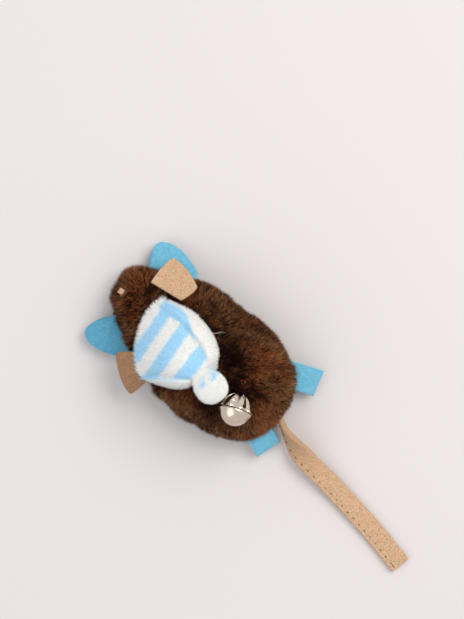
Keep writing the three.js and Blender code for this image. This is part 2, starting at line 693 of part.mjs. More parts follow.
// A round thread along a path.
function tube(points, radius, steps) {
  const section = new THREE.Shape();
  section.absarc(0, 0, radius, 0, 2 * Math.PI);
  return closedFrom(new THREE.ExtrudeGeometry(section, {
    steps, curveSegments: 4, bevelEnabled: false, extrudePath: new THREE.CatmullRomCurve3(points),
  }));
}

function closedFrom(geometry) {
  const bare = geometry.clone();
  bare.deleteAttribute('normal');
  bare.deleteAttribute('uv');
  const merged = mergeVertices(bare, 1e-4);
  const place = merged.attributes.position;
  const points = [];
  for (let i = 0; i < place.count; i += 1) points.push(new THREE.Vector3().fromBufferAttribute(place, i));
  return closed(points, [...merged.index.array]);
}

// Bell: a smooth bowl and a slotted top crimped at the rim, an eye, a loose pellet and the sewing thread
function makeBell() {
  const bell = new THREE.Group();
  bell.position.copy(bellPlace);
  bell.quaternion.setFromUnitVectors(up, bellPole);
  toy.add(bell);
  const start = Math.asin(seatGap / 2 / bellRadius);
  const arc = (radius, point, i) => {
    const angle = start + (i / bellSteps) * (Math.PI / 2 - start);
    return new THREE.Vector2(radius * Math.cos(angle), Math.max(radius * point * Math.sin(angle), seatGap / 2));
  };
  const half = (point) => {
    const outline = [
      new THREE.Vector2(bellRadius + bellRim, seatGap / 2), new THREE.Vector2(bellRadius + bellRim, 2 * bellRim),
    ];
    for (let i = 1; i <= bellSteps; i += 1) outline.push(arc(bellRadius, point, i));
    for (let i = bellSteps; i >= 0; i -= 1) outline.push(arc(bellRadius - bellWall, point, i));
    outline.push(outline[0]);
    const lathe = new THREE.LatheGeometry(outline, 28);
    lathe.rotateX(Math.PI / 2);
    return closedFrom(lathe);
  };
  const bowl = half(1);
  bowl.rotateX(Math.PI);
  add('bell_bowl', bowl, nickel, bell);

  const slotFoot = bellSlotFootShare * bellRadius;
  let petals = toSolid(half(bellPointShare));
  for (let k = 0; k < 4; k += 1) {
    const turn = bellHeading + (k * Math.PI) / 2;
    const slot = new THREE.BoxGeometry(bellRadius, bellSlot, 2 * bellRadius);
    slot.translate(bellRadius * (bellCapShare + 0.5), 0, slotFoot + bellRadius);
    slot.rotateZ(turn);
    const hole = new THREE.CylinderGeometry(bellSlotEnd, bellSlotEnd, bellRadius, 12);
    hole.rotateZ(Math.PI / 2);
    hole.translate(bellRadius, 0, slotFoot);
    hole.rotateZ(turn);
    petals = petals.subtract(toSolid(slot)).subtract(toSolid(hole));
  }
  add('bell_petals', toGeometry(petals), nickel, bell);

  const eye = new THREE.TorusGeometry(eyeRadius, eyeWire, 8, 18);
  eye.rotateY(Math.PI / 2);
  eye.rotateZ(bellHeading);
  add('bell_eye', closedFrom(eye), nickel, bell).position.set(0, 0, eyeReach);
  const lifting = new THREE.Vector3(bellPole.y, -bellPole.x, 0).negate().normalize();
  hinges.bell_lift = { at: eyeCentre, axis: lifting, range: [0, 22] };

  const level = new THREE.Vector3(bellPole.x, bellPole.y, 0).normalize();
  const loop = eyeRadius + eyeWire + 2 * threadRadius;
  const loopShares = [[0, 0], [0, 0.1], [0.5, 0.75], [1, 0.1], [1, 0]];
  const path = loopShares.map(([out, high]) => {
    const spot = eyeCentre.clone().addScaledVector(level, out * loop);
    spot.z += high > 0 ? high * loop : -threadDip;
    return spot;
  });
  add('bell_thread', tube(path, threadRadius, 16), whiteThread);

  const drop = bellRadius - bellWall - pelletRadius - seatGap;
  const pellet = add('bell_pellet', closedFrom(new THREE.SphereGeometry(pelletRadius, 12, 8)), nickel);
  pellet.position.copy(bellPlace).addScaledVector(up, -drop);
  hinges.pellet_rattle = { at: pellet.position.clone(), axis: up, range: [0, pelletTravelShare * drop] };
}

makeBody();
makeNose();
makeEar('ear_left', earSides.left);
makeEar('ear_right', earSides.right);
makeLeaf('front_paw_left', leafSides.left);
makeLeaf('front_paw_right', leafSides.right);
makeFoot('hind_foot_left', footSides.left);
makeFoot('hind_foot_right', footSides.right);
makeTail();
makeHat();
makeBell();
toy.userData.hinges = hinges;

export default toy;
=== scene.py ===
# %% [markdown]
# # A stuffed mouse for a cat, seen from above
#
# The toy is a small bag of fur cloth with suede ears and a folded suede tail, felt paws, a striped plush
# cap with a pom-pom, and a jingle bell sewn to its back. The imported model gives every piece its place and
# its size. This lesson gives each piece its looks: real pile on the fur and the plush, nap on the suede,
# loose fibres on the felt, and bright plate on the bell.

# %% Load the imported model
import math

import bmesh
import bpy
import numpy as np
from mathutils import Matrix, Vector
from mathutils.bvhtree import BVHTree
from mathutils.kdtree import KDTree


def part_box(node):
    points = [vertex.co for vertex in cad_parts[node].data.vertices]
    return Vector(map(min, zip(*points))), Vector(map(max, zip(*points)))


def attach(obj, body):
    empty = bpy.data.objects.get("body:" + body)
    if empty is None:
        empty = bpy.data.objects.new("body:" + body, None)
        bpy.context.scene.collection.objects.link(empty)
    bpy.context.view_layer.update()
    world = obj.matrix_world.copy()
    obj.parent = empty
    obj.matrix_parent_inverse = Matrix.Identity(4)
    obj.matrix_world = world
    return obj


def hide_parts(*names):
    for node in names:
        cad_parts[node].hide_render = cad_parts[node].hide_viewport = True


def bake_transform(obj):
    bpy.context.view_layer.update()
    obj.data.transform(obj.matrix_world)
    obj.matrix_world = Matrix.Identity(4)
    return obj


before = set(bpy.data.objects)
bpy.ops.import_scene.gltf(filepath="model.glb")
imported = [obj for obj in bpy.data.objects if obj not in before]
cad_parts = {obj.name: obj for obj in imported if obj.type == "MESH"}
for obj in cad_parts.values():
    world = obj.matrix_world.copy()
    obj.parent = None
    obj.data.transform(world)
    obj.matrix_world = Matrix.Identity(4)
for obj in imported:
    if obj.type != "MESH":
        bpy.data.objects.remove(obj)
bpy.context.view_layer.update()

# %% [markdown]
# ## Units and colours
#
# Blender works in metres here, and the toy is small, so sizes are written in millimetres and multiplied by
# MM. Colours are written as sRGB hex values, as a paint program shows them, and one function turns them to
# the linear values that the renderer adds up.

# %% Units and colours
MM = 0.001


def linear(value):
    """An sRGB hex colour as linear red, green and blue."""
    parts = np.array([int(value[i : i + 2], 16) for i in (1, 3, 5)]) / 255
    return np.where(parts <= 0.04045, parts / 12.92, ((parts + 0.055) / 1.055) ** 2.4)


print("mid fur brown, linear:", linear("#5a3722").round(3))

# %% [markdown]
# ## Camera, floor and light
#
# The photograph looks straight down at the toy, which lies at a slant with its nose to the upper left. One
# picture pixel is 0.363 mm on the floor. A long lens from 0.7 m keeps the slight perspective of a product
# photograph. The light is a large soft lamp from the upper right of the picture, with a weak fill from the
# other side.

# %% Camera
PIXEL = 0.363 * MM
PICTURE_ROWS = 619
PICTURE_UP = Vector((-0.794, -0.607, 0))
PICTURE_RIGHT = Vector((-0.607, 0.794, 0))
PICTURE_MIDDLE = Vector((-20.1 * MM, -2.1 * MM, 0))
CAMERA_HEIGHT = 0.7

camera_data = bpy.data.cameras.new("camera")
camera = bpy.data.objects.new("camera", camera_data)
bpy.context.scene.collection.objects.link(camera)
picture_turn = Matrix((PICTURE_RIGHT, PICTURE_UP, PICTURE_RIGHT.cross(PICTURE_UP))).transposed()
over_toy = Matrix.Translation(PICTURE_MIDDLE + Vector((0, 0, CAMERA_HEIGHT)))
camera.matrix_world = over_toy @ picture_turn.to_4x4()
camera_data.lens = camera_data.sensor_width * CAMERA_HEIGHT / (PICTURE_ROWS * PIXEL)
camera_data.clip_start = 0.01
bpy.context.scene.camera = camera
print("lens", round(camera_data.lens, 1), "mm")

# %% Nodes and materials
def node(tree, kind, place=(0, 0), settings=None, **links):
    """Adds a shader node, sets its properties and sockets, and links what is given as a socket.

    A socket is named by its own name, with _ for a space, or by its number, as in i0.
    """
    made = tree.nodes.new(kind)
    made.location = place
    for name, value in (settings or {}).items():
        setattr(made, name, value)
    for name, value in links.items():
        numbered = name[0] == "i" and name[1:].isdigit()
        socket = made.inputs[int(name[1:]) if numbered else name.replace("_", " ")]
        if isinstance(value, bpy.types.NodeSocket):
            tree.links.new(value, socket)
        elif isinstance(value, str):
            socket.default_value = (*linear(value), 1)
        else:
            socket.default_value = value
    return made


def new_material(name):
    """An empty node material, and its tree."""
    material = bpy.data.materials.new(name)
    material.use_nodes = True
    material.node_tree.nodes.clear()
    return material, material.node_tree


print("node tools are ready")

# %% Floor
card, tree = new_material("pale_card")  # uncoated board: pale, matt and even
surface = node(tree, "ShaderNodeBsdfPrincipled", (300, 0), Base_Color="#dad6d6", Roughness=0.9)
node(tree, "ShaderNodeOutputMaterial", (600, 0), Surface=surface.outputs[0])

bpy.ops.object.select_all(action="DESELECT")
bpy.ops.mesh.primitive_plane_add(size=6, location=(0, 0, 0))
floor = bpy.context.object
floor.name = "floor"
floor.data.materials.append(card)
print("floor:", floor.dimensions.x, "m wide")

# %% World
world = bpy.data.worlds.new("studio")
bpy.context.scene.world = world
world.use_nodes = True
tree = world.node_tree
tree.nodes.clear()
sky = node(tree, "ShaderNodeBackground", (0, 0), Color="#eceaea", Strength=0.82)
seen = node(tree, "ShaderNodeBackground", (0, -160), Color="#f4f2f3", Strength=0.9)
path = node(tree, "ShaderNodeLightPath", (-300, 200))
clear = node(
    tree, "ShaderNodeMath", (-180, 200), {"operation": "MAXIMUM"}, i0=path.outputs["Is Camera Ray"],
    i1=path.outputs["Is Transmission Ray"])
clear = node(
    tree, "ShaderNodeMath", (0, 200), {"operation": "MAXIMUM"}, i0=clear.outputs[0],
    i1=path.outputs["Is Glossy Ray"])
which = node(
    tree, "ShaderNodeMixShader", (250, 0), i0=clear.outputs[0], i1=sky.outputs[0], i2=seen.outputs[0])
node(tree, "ShaderNodeOutputWorld", (450, 0), Surface=which.outputs[0])
bpy.context.scene.view_settings.view_transform = "Standard"
print("world:", world.name)

# %% Lamps
def lamp(name, toward, distance, size, power, colour):
    """A square soft lamp that shines at the middle of the toy."""
    data = bpy.data.lights.new(name, "AREA")
    data.size = size
    data.energy = power
    data.color = linear(colour)
    made = bpy.data.objects.new(name, data)
    bpy.context.scene.collection.objects.link(made)
    made.location = Vector(toward).normalized() * distance
    made.rotation_euler = Vector(toward).to_track_quat("Z", "Y").to_euler()


key_way = PICTURE_UP * 0.55 + PICTURE_RIGHT * 0.75 + Vector((0, 0, 1.35))
fill_way = -PICTURE_RIGHT * 0.9 - PICTURE_UP * 0.35 + Vector((0, 0, 1.0))
lamp("key", key_way, 0.9, 0.55, 4.3, "#fffaf4")
lamp("fill", fill_way, 1.0, 0.8, 2.3, "#fbfaff")

# %% [markdown]
# ## The shape of the body
#
# The body is a bag sewn from a back panel and a belly panel and filled until it is round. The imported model
# draws it as a row of cross-sections along its length, and the same numbers are used here, because the pile
# must stand on the very same bag. The bag's cloth lies a few millimetres under the tips of the pile.

# %% The table of the body's cross-sections
BODY_LENGTH, BODY_WIDTH, BODY_HEIGHT, SEAM_HEIGHT = 77.5, 43.4, 28.5, 7.0
NOSE_Y = -0.542 * BODY_LENGTH
BODY_TABLE = np.array([  # how far along; then the half width, the crown and the wander there, as shares
    [0, 0.62, 0.6, 0.105], [0.155, 0.715, 0.72, 0.07], [0.232, 0.792, 0.8, 0.052],
    [0.335, 0.952, 0.92, 0.054], [0.445, 0.995, 0.98, 0.038], [0.594, 1.045, 1, 0.014],
    [0.71, 1.09, 1.03, 0.026], [0.852, 1.112, 1.05, 0.01], [0.916, 1.167, 1.07, 0.01], [1, 1.3, 1.1, 0.01],
])
HALF_WIDTH, CROWN, WANDER = 1, 2, 3


def share_at(column, along):
    """A smooth curve through one column of the body's table."""
    x, values = BODY_TABLE[:, 0], BODY_TABLE[:, column]
    slopes = np.empty_like(values)
    slopes[1:-1] = (values[2:] - values[:-2]) / (x[2:] - x[:-2])
    slopes[0] = (values[1] - values[0]) / (x[1] - x[0])
    slopes[-1] = (values[-1] - values[-2]) / (x[-1] - x[-2])
    along = np.clip(along, 0, 1)
    i = np.clip(np.searchsorted(x, along, side="right") - 1, 0, len(x) - 2)
    span = x[i + 1] - x[i]
    t = (along - x[i]) / span
    rise = t * t * (3 - 2 * t)
    start, end = t * (1 - t) ** 2 * span * slopes[i], t * t * (t - 1) * span * slopes[i + 1]
    return values[i] * (1 - rise) + values[i + 1] * rise + start + end


print("crown at the middle of the length:", round(float(share_at(CROWN, 0.5)), 3))

# %% The body's surface
ENDS_ROUND, BACK_ROUND, BELLY_ROUND = 2.4, 2.15, 2.6  # 2 would be an ellipse, and more is squarer


def bent(values, power):
    """Values raised to a power, with their signs kept."""
    return np.sign(values) * np.abs(values) ** power


def body_at(y, inset=0.0):
    """The middle, half width, crown and sag of the body's cross-section at y, drawn in by an inset."""
    along = (np.asarray(y, float) - NOSE_Y - inset) / (BODY_LENGTH - 2 * inset)
    rounded = np.maximum(0, 1 - np.abs(2 * along - 1) ** ENDS_ROUND) ** (1 / ENDS_ROUND)
    return (
        -share_at(WANDER, along) * BODY_WIDTH,
        (BODY_WIDTH / 2 - inset) * rounded * share_at(HALF_WIDTH, along),
        (BODY_HEIGHT - SEAM_HEIGHT - inset) * rounded * share_at(CROWN, along),
        (SEAM_HEIGHT + 0.5 - inset) * rounded**0.5,
    )


def back_height(x, y, spread=0.0):
    """Height of the back's outer surface over the floor, for a body wider by a spread on each side."""
    middle, half, crown, _ = body_at(y)
    side = np.minimum(1, np.abs(x - middle) / (half + spread))
    return SEAM_HEIGHT + crown * (1 - side**BACK_ROUND) ** (1 / BACK_ROUND)


print("the back over the floor at its middle:", round(float(back_height(0, 0)), 1), "mm")

# %% A grid of points over the whole bag
def body_grid(inset, rings, sides):
    """A grid of points over the whole bag, ring by ring from the nose to the tail."""
    along = (1 - np.cos(np.pi * np.linspace(0.002, 0.998, rings))) / 2  # closer together towards the ends
    y = NOSE_Y + inset + along * (BODY_LENGTH - 2 * inset)
    middle, half, crown, sag = (v[:, None] for v in body_at(y, inset))
    angle = 2 * np.pi * np.arange(sides + 1)[None] / sides
    power = np.where(np.sin(angle) >= -1e-9, 2 / BACK_ROUND, 2 / BELLY_ROUND)
    high = bent(np.sin(angle), power)
    x = middle + bent(np.cos(angle), power) * half
    z = SEAM_HEIGHT + high * np.where(high >= 0, crown, sag)
    return np.stack([x, np.broadcast_to(y[:, None], z.shape), z], -1)


print("body height over its pile:", round(float(body_grid(0, 40, 48)[..., 2].max()), 1), "mm")

# %% [markdown]
# ## Growing a pile
#
# Fur and plush are cloths with hairs that stand up. A picture or a bump map on a smooth skin never gets the
# soft edge that hairs give an outline, so each hair here is real geometry: a thin curved cone of a few
# faces. One function scatters roots evenly over a surface, one gathers the hairs into tufts, and one turns
# them into a mesh. The colours are kept on the mesh as an attribute, darker at the root and lighter at the
# tip.

# %% Scatter roots over a grid of points
def unit(vectors):
    """Vectors at a length of 1."""
    return vectors / np.maximum(np.linalg.norm(vectors, axis=-1, keepdims=True), 1e-9)


def grid_normals(grid):
    """Normals at every point of a grid, from the slope to its neighbours."""
    return unit(np.cross(np.gradient(grid, axis=0), np.gradient(grid, axis=1)))


def corners_of(grid):
    """The four corners of every cell of a grid, in turn."""
    return grid[:-1, :-1], grid[1:, :-1], grid[1:, 1:], grid[:-1, 1:]


def cell_areas(grid):
    """The area of every cell of a grid, in square millimetres."""
    a, b, c, d = corners_of(grid)
    return np.linalg.norm(np.cross(c - a, d - b), axis=-1) / 2


def scatter(grid, count, seed):
    """Evenly random places on a grid: points, normals, and how far along and across the grid they are."""
    rng = np.random.default_rng(seed)
    area = cell_areas(grid)
    pick = rng.choice(area.size, count, p=(area / area.sum()).ravel())
    i, j = np.unravel_index(pick, area.shape)
    s, t = rng.random((2, count))
    weights = (1 - s) * (1 - t), s * (1 - t), s * t, (1 - s) * t
    points, ways = (
        sum(w[:, None] * c[i, j] for w, c in zip(weights, corners_of(values)))
        for values in (grid, grid_normals(grid)))
    return points, unit(ways), (i + s) / (grid.shape[0] - 1), (j + t) / (grid.shape[1] - 1)


print("three places on the bag:", scatter(body_grid(0, 40, 48), 3, 1)[0].round(1).tolist())

# %% Fields that drift over the cloth
DRIFT_WAVES = 18


def drift(points, size, seed):
    """A smooth random field of about -1 to 1 over space, with features of a size in mm, for each point."""
    rng = np.random.default_rng(seed)
    ways = rng.normal(size=(DRIFT_WAVES, 3))
    spread = rng.uniform(0.6, 1.4, (DRIFT_WAVES, 1))
    ways *= (2 * np.pi / size) * spread / np.linalg.norm(ways, axis=1, keepdims=True)
    phases = rng.uniform(0, 2 * np.pi, DRIFT_WAVES)
    return np.cos(points @ ways.T + phases).sum(1) / math.sqrt(DRIFT_WAVES)


def drift_vector(points, size, seed):
    """Three such fields as a vector for each point."""
    return np.stack([drift(points, size, seed + k) for k in range(3)], 1)


def along_cloth(lean, ways):
    """The part of each lean that lies along the cloth, square to its normal."""
    return lean - ways * (lean * ways).sum(1, keepdims=True)


print("a field at one place:", drift(np.zeros((1, 3)), 10, 1).round(2))

# %% Points and faces become a piece
def new_piece(name, mesh):
    """An object of a mesh, shaded smooth, in the scene."""
    mesh.polygons.foreach_set("use_smooth", np.ones(len(mesh.polygons), bool))
    made = bpy.data.objects.new(name, mesh)
    bpy.context.scene.collection.objects.link(made)
    return made


def closed_piece(name, points, faces):
    """A closed piece of points in millimetres and of faces, which are turned to point outwards."""
    data = bpy.data.meshes.new(name)
    data.from_pydata((points.reshape(-1, 3) * MM).tolist(), [], faces)
    mesh = bmesh.new()
    mesh.from_mesh(data)
    bmesh.ops.recalc_face_normals(mesh, faces=mesh.faces)
    mesh.to_mesh(data)
    mesh.free()
    return new_piece(name, data)


def tube_faces(rings, sides):
    """The faces of a tube of rings of points, closed at both ends."""
    index = np.arange(rings * sides).reshape(rings, sides)
    beside = np.roll(index, -1, 1)
    quads = np.stack([index[:-1], beside[:-1], beside[1:], index[1:]], -1).reshape(-1, 4)
    return [*quads.tolist(), index[0][::-1].tolist(), index[-1].tolist()]


def paint(mesh, colours):
    """Keeps one colour for each vertex of a mesh as the pile_colour attribute."""
    attribute = mesh.color_attributes.new("pile_colour", "FLOAT_COLOR", "POINT")
    shades = np.concatenate([colours, np.ones((len(colours), 1))], 1)
    attribute.data.foreach_set("color", shades.astype(np.float32).ravel())


def vertices(made):
    """A piece's vertices in millimetres."""
    flat = np.empty(3 * len(made.data.vertices), np.float32)
    made.data.vertices.foreach_get("co", flat)
    return flat.reshape(-1, 3).astype(float) / MM


print("a tube of 3 rings has", len(tube_faces(3, 6)), "faces")

# %% The shape of a hair
HAIR_SIDES = 3


def hair_points(rows, widths):
    """Vertices of tapered hairs and the way that each one faces, from rows of points from root to tip."""
    count, steps = rows.shape[:2]
    along = unit(rows[:, 1] - rows[:, 0])
    helper = np.where(np.abs(along[:, 2:]) < 0.8, np.array([[0, 0, 1.0]]), np.array([[1.0, 0, 0]]))
    side = unit(np.cross(along, helper))
    other = np.cross(along, side)
    spin = np.random.default_rng(count).uniform(0, 2 * np.pi, count)
    angles = spin[:, None] + 2 * np.pi * np.arange(HAIR_SIDES) / HAIR_SIDES
    ring = side[:, None] * np.cos(angles)[..., None] + other[:, None] * np.sin(angles)[..., None]
    taper = (1 - (np.arange(steps - 1) / (steps - 1)) ** 1.6)[None, :, None, None]
    rings = rows[:, :-1, None] + ring[:, None] * taper * (widths / 2)[:, None, None, None]
    outward = np.repeat(ring[:, None], steps - 1, 1).reshape(count, -1, 3)
    to_tip = unit(rows[:, -1:] - rows[:, -2:-1])
    return (
        np.concatenate([rings.reshape(count, -1, 3), rows[:, -1:]], 1), np.concatenate([outward, to_tip], 1))


def hair_faces(steps):
    """The faces of one hair: four-cornered ones up its sides, and three at its tip."""
    turns = [(j, (j + 1) % HAIR_SIDES) for j in range(HAIR_SIDES)]
    quads = [
        (HAIR_SIDES * k + a, HAIR_SIDES * k + b, HAIR_SIDES * (k + 1) + b, HAIR_SIDES * (k + 1) + a)
        for k in range(steps - 2) for a, b in turns]
    last = HAIR_SIDES * (steps - 2)
    return quads + [(last + a, last + b, last + HAIR_SIDES) for a, b in turns]


def hair_places(count, steps):
    """A place on a flat sheet for every vertex: each hair has a small square of its own."""
    cells = math.ceil(math.sqrt(count))
    cell = np.stack(np.divmod(np.arange(count), cells), 1)[:, None] / cells
    inside = [
        (0.15 + 0.35 * j, 0.1 + 0.8 * k / (steps - 1)) for k in range(steps - 1) for j in range(HAIR_SIDES)]
    return (cell + np.array([*inside, (0.5, 0.9)])[None] / cells).reshape(-1, 2)


print("a hair of 3 steps has", len(hair_faces(3)), "faces")

# %% Hairs as one mesh
def plant(name, rows, widths, colours, material, body, ways, like_cloth):
    """A piece of tapered hairs that rides on a body. rows holds each hair's points from root to tip, in mm.

    Light goes through and between real hairs, so a pile is as bright as its cloth. To get that, the normals
    of the hairs are turned towards the cloth's own normals, ways, by the like_cloth share.
    """
    count, steps = rows.shape[:2]
    points, facing = hair_points(rows, widths)
    faces = hair_faces(steps)
    corners = np.concatenate(faces)
    starts = np.cumsum([0, *(len(face) for face in faces[:-1])])
    loops = (np.arange(count)[:, None] * points.shape[1] + corners).ravel()
    loop_starts = (np.arange(count)[:, None] * len(corners) + starts).ravel()
    mesh = bpy.data.meshes.new(name)
    mesh.vertices.add(points.shape[0] * points.shape[1])
    mesh.vertices.foreach_set("co", (points * MM).astype(np.float32).ravel())
    mesh.loops.add(len(loops))
    mesh.loops.foreach_set("vertex_index", loops.astype(np.int32))
    mesh.polygons.add(len(loop_starts))
    mesh.polygons.foreach_set("loop_start", loop_starts.astype(np.int32))
    mesh.update(calc_edges=True)
    made = new_piece(name, mesh)
    by_vertex = np.concatenate([np.repeat(colours[:, :-1], HAIR_SIDES, 1), colours[:, -1:]], 1)
    paint(mesh, by_vertex.reshape(-1, 3))
    layer = mesh.uv_layers.new(name="OFBake")
    layer.data.foreach_set("uv", hair_places(count, steps)[loops].astype(np.float32).ravel())
    turned = unit(facing * (1 - like_cloth) + ways[:, None] * like_cloth)
    mesh.normals_split_custom_set_from_vertices(turned.reshape(-1, 3).astype(np.float32))
    mesh.materials.append(material)
    if body:
        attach(made, body)
    return made


print("pile tools are ready")

# %% A hair's course from root to tip
def comb(roots, normals, lengths, lean, curl, steps=3):
    """Points of each hair: out of the cloth, leaning by the lean vector, with its tip curled further over."""
    t = np.linspace(0, 1, steps)[None, :, None]
    way = unit(normals + lean)
    tip_way = unit(normals + lean + curl)
    course = way[:, None] * t * (1 - 0.5 * t) + tip_way[:, None] * 0.5 * t * t
    return roots[:, None] + course * lengths[:, None, None]


def gather(rows, roots, hairs_each, pull, seed):
    """Pulls the tips of neighbouring hairs together into tufts, and tells which tuft each hair is in."""
    leaders = np.random.default_rng(seed).choice(len(roots), max(8, len(roots) // hairs_each), replace=False)
    tree = KDTree(len(leaders))
    for k, leader in enumerate(leaders):
        tree.insert(roots[leader], k)
    tree.balance()
    tuft = np.array([tree.find(root)[1] for root in roots])
    share = (np.linspace(0, 1, rows.shape[1]) ** 1.4)[None, :, None] * pull[:, None, None]
    return rows * (1 - share) + rows[leaders][tuft] * share, tuft


upright = comb(np.zeros((1, 3)), np.array([[0, 0, 1.0]]), np.ones(1), 0, 0)
print("a straight hair reaches", upright[0, -1, 2], "of its length")

# %% [markdown]
# ## The fur cloth
#
# The bag's own cloth is a dark knitted backing that shows only where the pile parts. It is a crowned closed
# form with a seam all round, flat where the toy rests. The pile is acrylic: about 4 mm long, dark brown at
# the root, rusty and lighter towards the tip, and pressed flat under the cap and the belly.

# %% Backing cloth of the two panels
BAG_RINGS, BAG_SIDES = 72, 96
CLOTH_DEPTH = 3.15
BELLY_STRETCH = 1.7  # the pile under the belly is pressed flat, so the cloth lies nearer to the floor there
CLOTH_LOWEST = 0.9
SEAM_PINCH, SEAM_REACH = 0.022, 1.2  # how far the seam draws the cloth in, and how far up and down


def hump(off):
    """1 where a distance is 0, and an even fall to nothing on both sides."""
    return np.exp(-(off**2))


skin = body_grid(CLOTH_DEPTH, BAG_RINGS, BAG_SIDES)
under = SEAM_HEIGHT - (SEAM_HEIGHT - skin[..., 2]) * BELLY_STRETCH
skin[..., 2] = np.where(skin[..., 2] < SEAM_HEIGHT, np.maximum(under, CLOTH_LOWEST), skin[..., 2])
middle_line = body_at(skin[..., 1], CLOTH_DEPTH)[0]
pinch = 1 - SEAM_PINCH * hump((skin[..., 2] - SEAM_HEIGHT) / SEAM_REACH)
skin[..., 0] = middle_line + (skin[..., 0] - middle_line) * pinch
fur_cloth = closed_piece("fur_cloth", skin[:, :-1], tube_faces(BAG_RINGS, BAG_SIDES))
print("backing cloth:", len(fur_cloth.data.polygons), "faces")

# %% Where the cap presses the fur
cap_corners, cap_faces = [], []
for name in ("hat_crown", "hat_tip"):
    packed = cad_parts[name].data
    cap_faces += [[len(cap_corners) + i for i in face.vertices] for face in packed.polygons]
    cap_corners += [corner.co / MM for corner in packed.vertices]
cap_tree = BVHTree.FromPolygons(cap_corners, cap_faces)


def under_cap(points):
    """1 under the cap's cloth, 0 in the open, for each point."""
    return np.array([cap_tree.ray_cast(Vector(p), Vector((0, 0, 1)))[0] is not None for p in points], float)


print("cap over the point (0, -15):", under_cap(np.array([[0, -15, 20.0]])))

# %% The pile of the body
PILE_LENGTH, PILE_SHORTEST, PILE_LONGEST = 4.3, 2.2, 5.8
PRESSED_LENGTH = 1.6  # under the belly
CAP_PRESS = 0.62  # how much shorter the pile is under the cap
NOSE_TUFT, NOSE_TUFT_REACH = 0.3, 5.5  # how much longer it is round the nose, and how far round it
BODY_HAIRS = 125_000
HAIRS_IN_TUFT = 10
TO_TAIL = np.array([0.0, 0.1, -0.06])  # every hair leans a little towards the tail and the floor


def chance(seed, shape):
    """Random numbers round 0, most of them between -1 and 1, and the same ones each time for a seed."""
    return np.random.default_rng(seed).normal(size=shape)


def middle_of(low_piece, high_piece=None):
    """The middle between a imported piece's low corner and its own or another one's high corner, in mm."""
    return np.array((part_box(low_piece)[0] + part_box(high_piece or low_piece)[1]) / 2) / MM


NOSE_TAB = middle_of("nose")
roots, ways, *_ = scatter(skin, BODY_HAIRS, 11)
lean = 0.15 * drift_vector(roots, 17, 21) + 0.15 * drift_vector(roots, 5.0, 31) + TO_TAIL
lean = along_cloth(lean + 0.24 * chance(7, roots.shape), ways)
curl = 0.12 * drift_vector(roots, 1.6, 51) + 0.36 * chance(8, roots.shape)
lengths = PILE_LENGTH * (0.86 + 0.13 * drift(roots, 8, 41) + 0.1 * chance(5, len(roots)))
from_nose = np.linalg.norm(roots - NOSE_TAB, axis=1)
lengths *= 1 + NOSE_TUFT * np.exp(-((from_nose / NOSE_TUFT_REACH) ** 4))
lengths = np.clip(lengths, PILE_SHORTEST, PILE_LONGEST)
lengths = np.where(ways[:, 2] < -0.35, PRESSED_LENGTH, lengths)
lengths *= 1 - CAP_PRESS * under_cap(roots) * (ways[:, 2] > 0)
pull = np.clip(0.25 + 0.16 * drift(roots, 5, 61), 0.02, 0.6)
courses, tuft = gather(comb(roots, ways, lengths, lean, curl), roots, HAIRS_IN_TUFT, pull, 71)
print("body hairs:", len(courses), "in", tuft.max() + 1, "tufts")

# %% Hair over the bell's eye, and behind the nose
LEVEL = np.array([1, 1, 0])  # takes the height out of a distance
PETALS_REACH = 5.4
EYE_CLEAR, EYE_REACH, EYE_SHARE = 0.8, 4.0, 0.75  # hairs over the eye: from where, to where, how many
NOSE_CLEAR, NOSE_REACH, NOSE_SHARE = 1.0, 3.4, 0.2  # the same for the hairs behind the nose
BELL_MIDDLE = middle_of("bell_bowl", "bell_petals")
EYE_MIDDLE = middle_of("bell_eye")

off_eye = (roots - EYE_MIDDLE) * LEVEL
reach = np.linalg.norm(off_eye, axis=1)
rng = np.random.default_rng(9)
over_eye = (reach > EYE_CLEAR) & (reach < EYE_REACH) & (ways[:, 2] > 0)
over_eye &= rng.random(len(roots)) < EYE_SHARE
over_eye &= np.linalg.norm((roots - BELL_MIDDLE)[:, :2], axis=1) > PETALS_REACH
for step, share, high in ((1, 0.4, 1.9), (2, -0.35, 1.3)):  # the middle and the tip of each hair
    loose = rng.normal(size=roots.shape) * np.array([0.6, 0.6, 0.2])
    courses[over_eye, step] = (EYE_MIDDLE + off_eye * share + [0, 0, high] + loose)[over_eye]

off_nose = (roots - NOSE_TAB) * LEVEL
reach = np.linalg.norm(off_nose, axis=1)
over_nose = (reach > NOSE_CLEAR) & (reach < NOSE_REACH) & (off_nose[:, 1] > 0.2)
over_nose &= np.random.default_rng(10).random(len(roots)) < NOSE_SHARE
print("hairs over the eye:", over_eye.sum(), "and behind the nose:", over_nose.sum())

# %% Keep the pile out of the bell and the floor
BELL_ROOM = 6.0  # radius of the ball that the pile keeps free for the bell
FLOOR_GAP = 0.15

away = courses - BELL_MIDDLE
distance = np.linalg.norm(away, axis=-1, keepdims=True)
at_bell = BELL_MIDDLE + away / np.maximum(distance, 1e-6) * BELL_ROOM
courses = np.where(distance < BELL_ROOM, at_bell, courses)
for step, share, high in ((1, 0.8, 1.1), (2, 0.45, 1.75)):
    courses[over_nose, step] = (NOSE_TAB + off_nose * share + [0, 0, high])[over_nose]
courses[..., 2] = np.maximum(courses[..., 2], FLOOR_GAP)
print("lowest tip:", round(float(courses[..., 2].min()), 2), "mm over the floor")

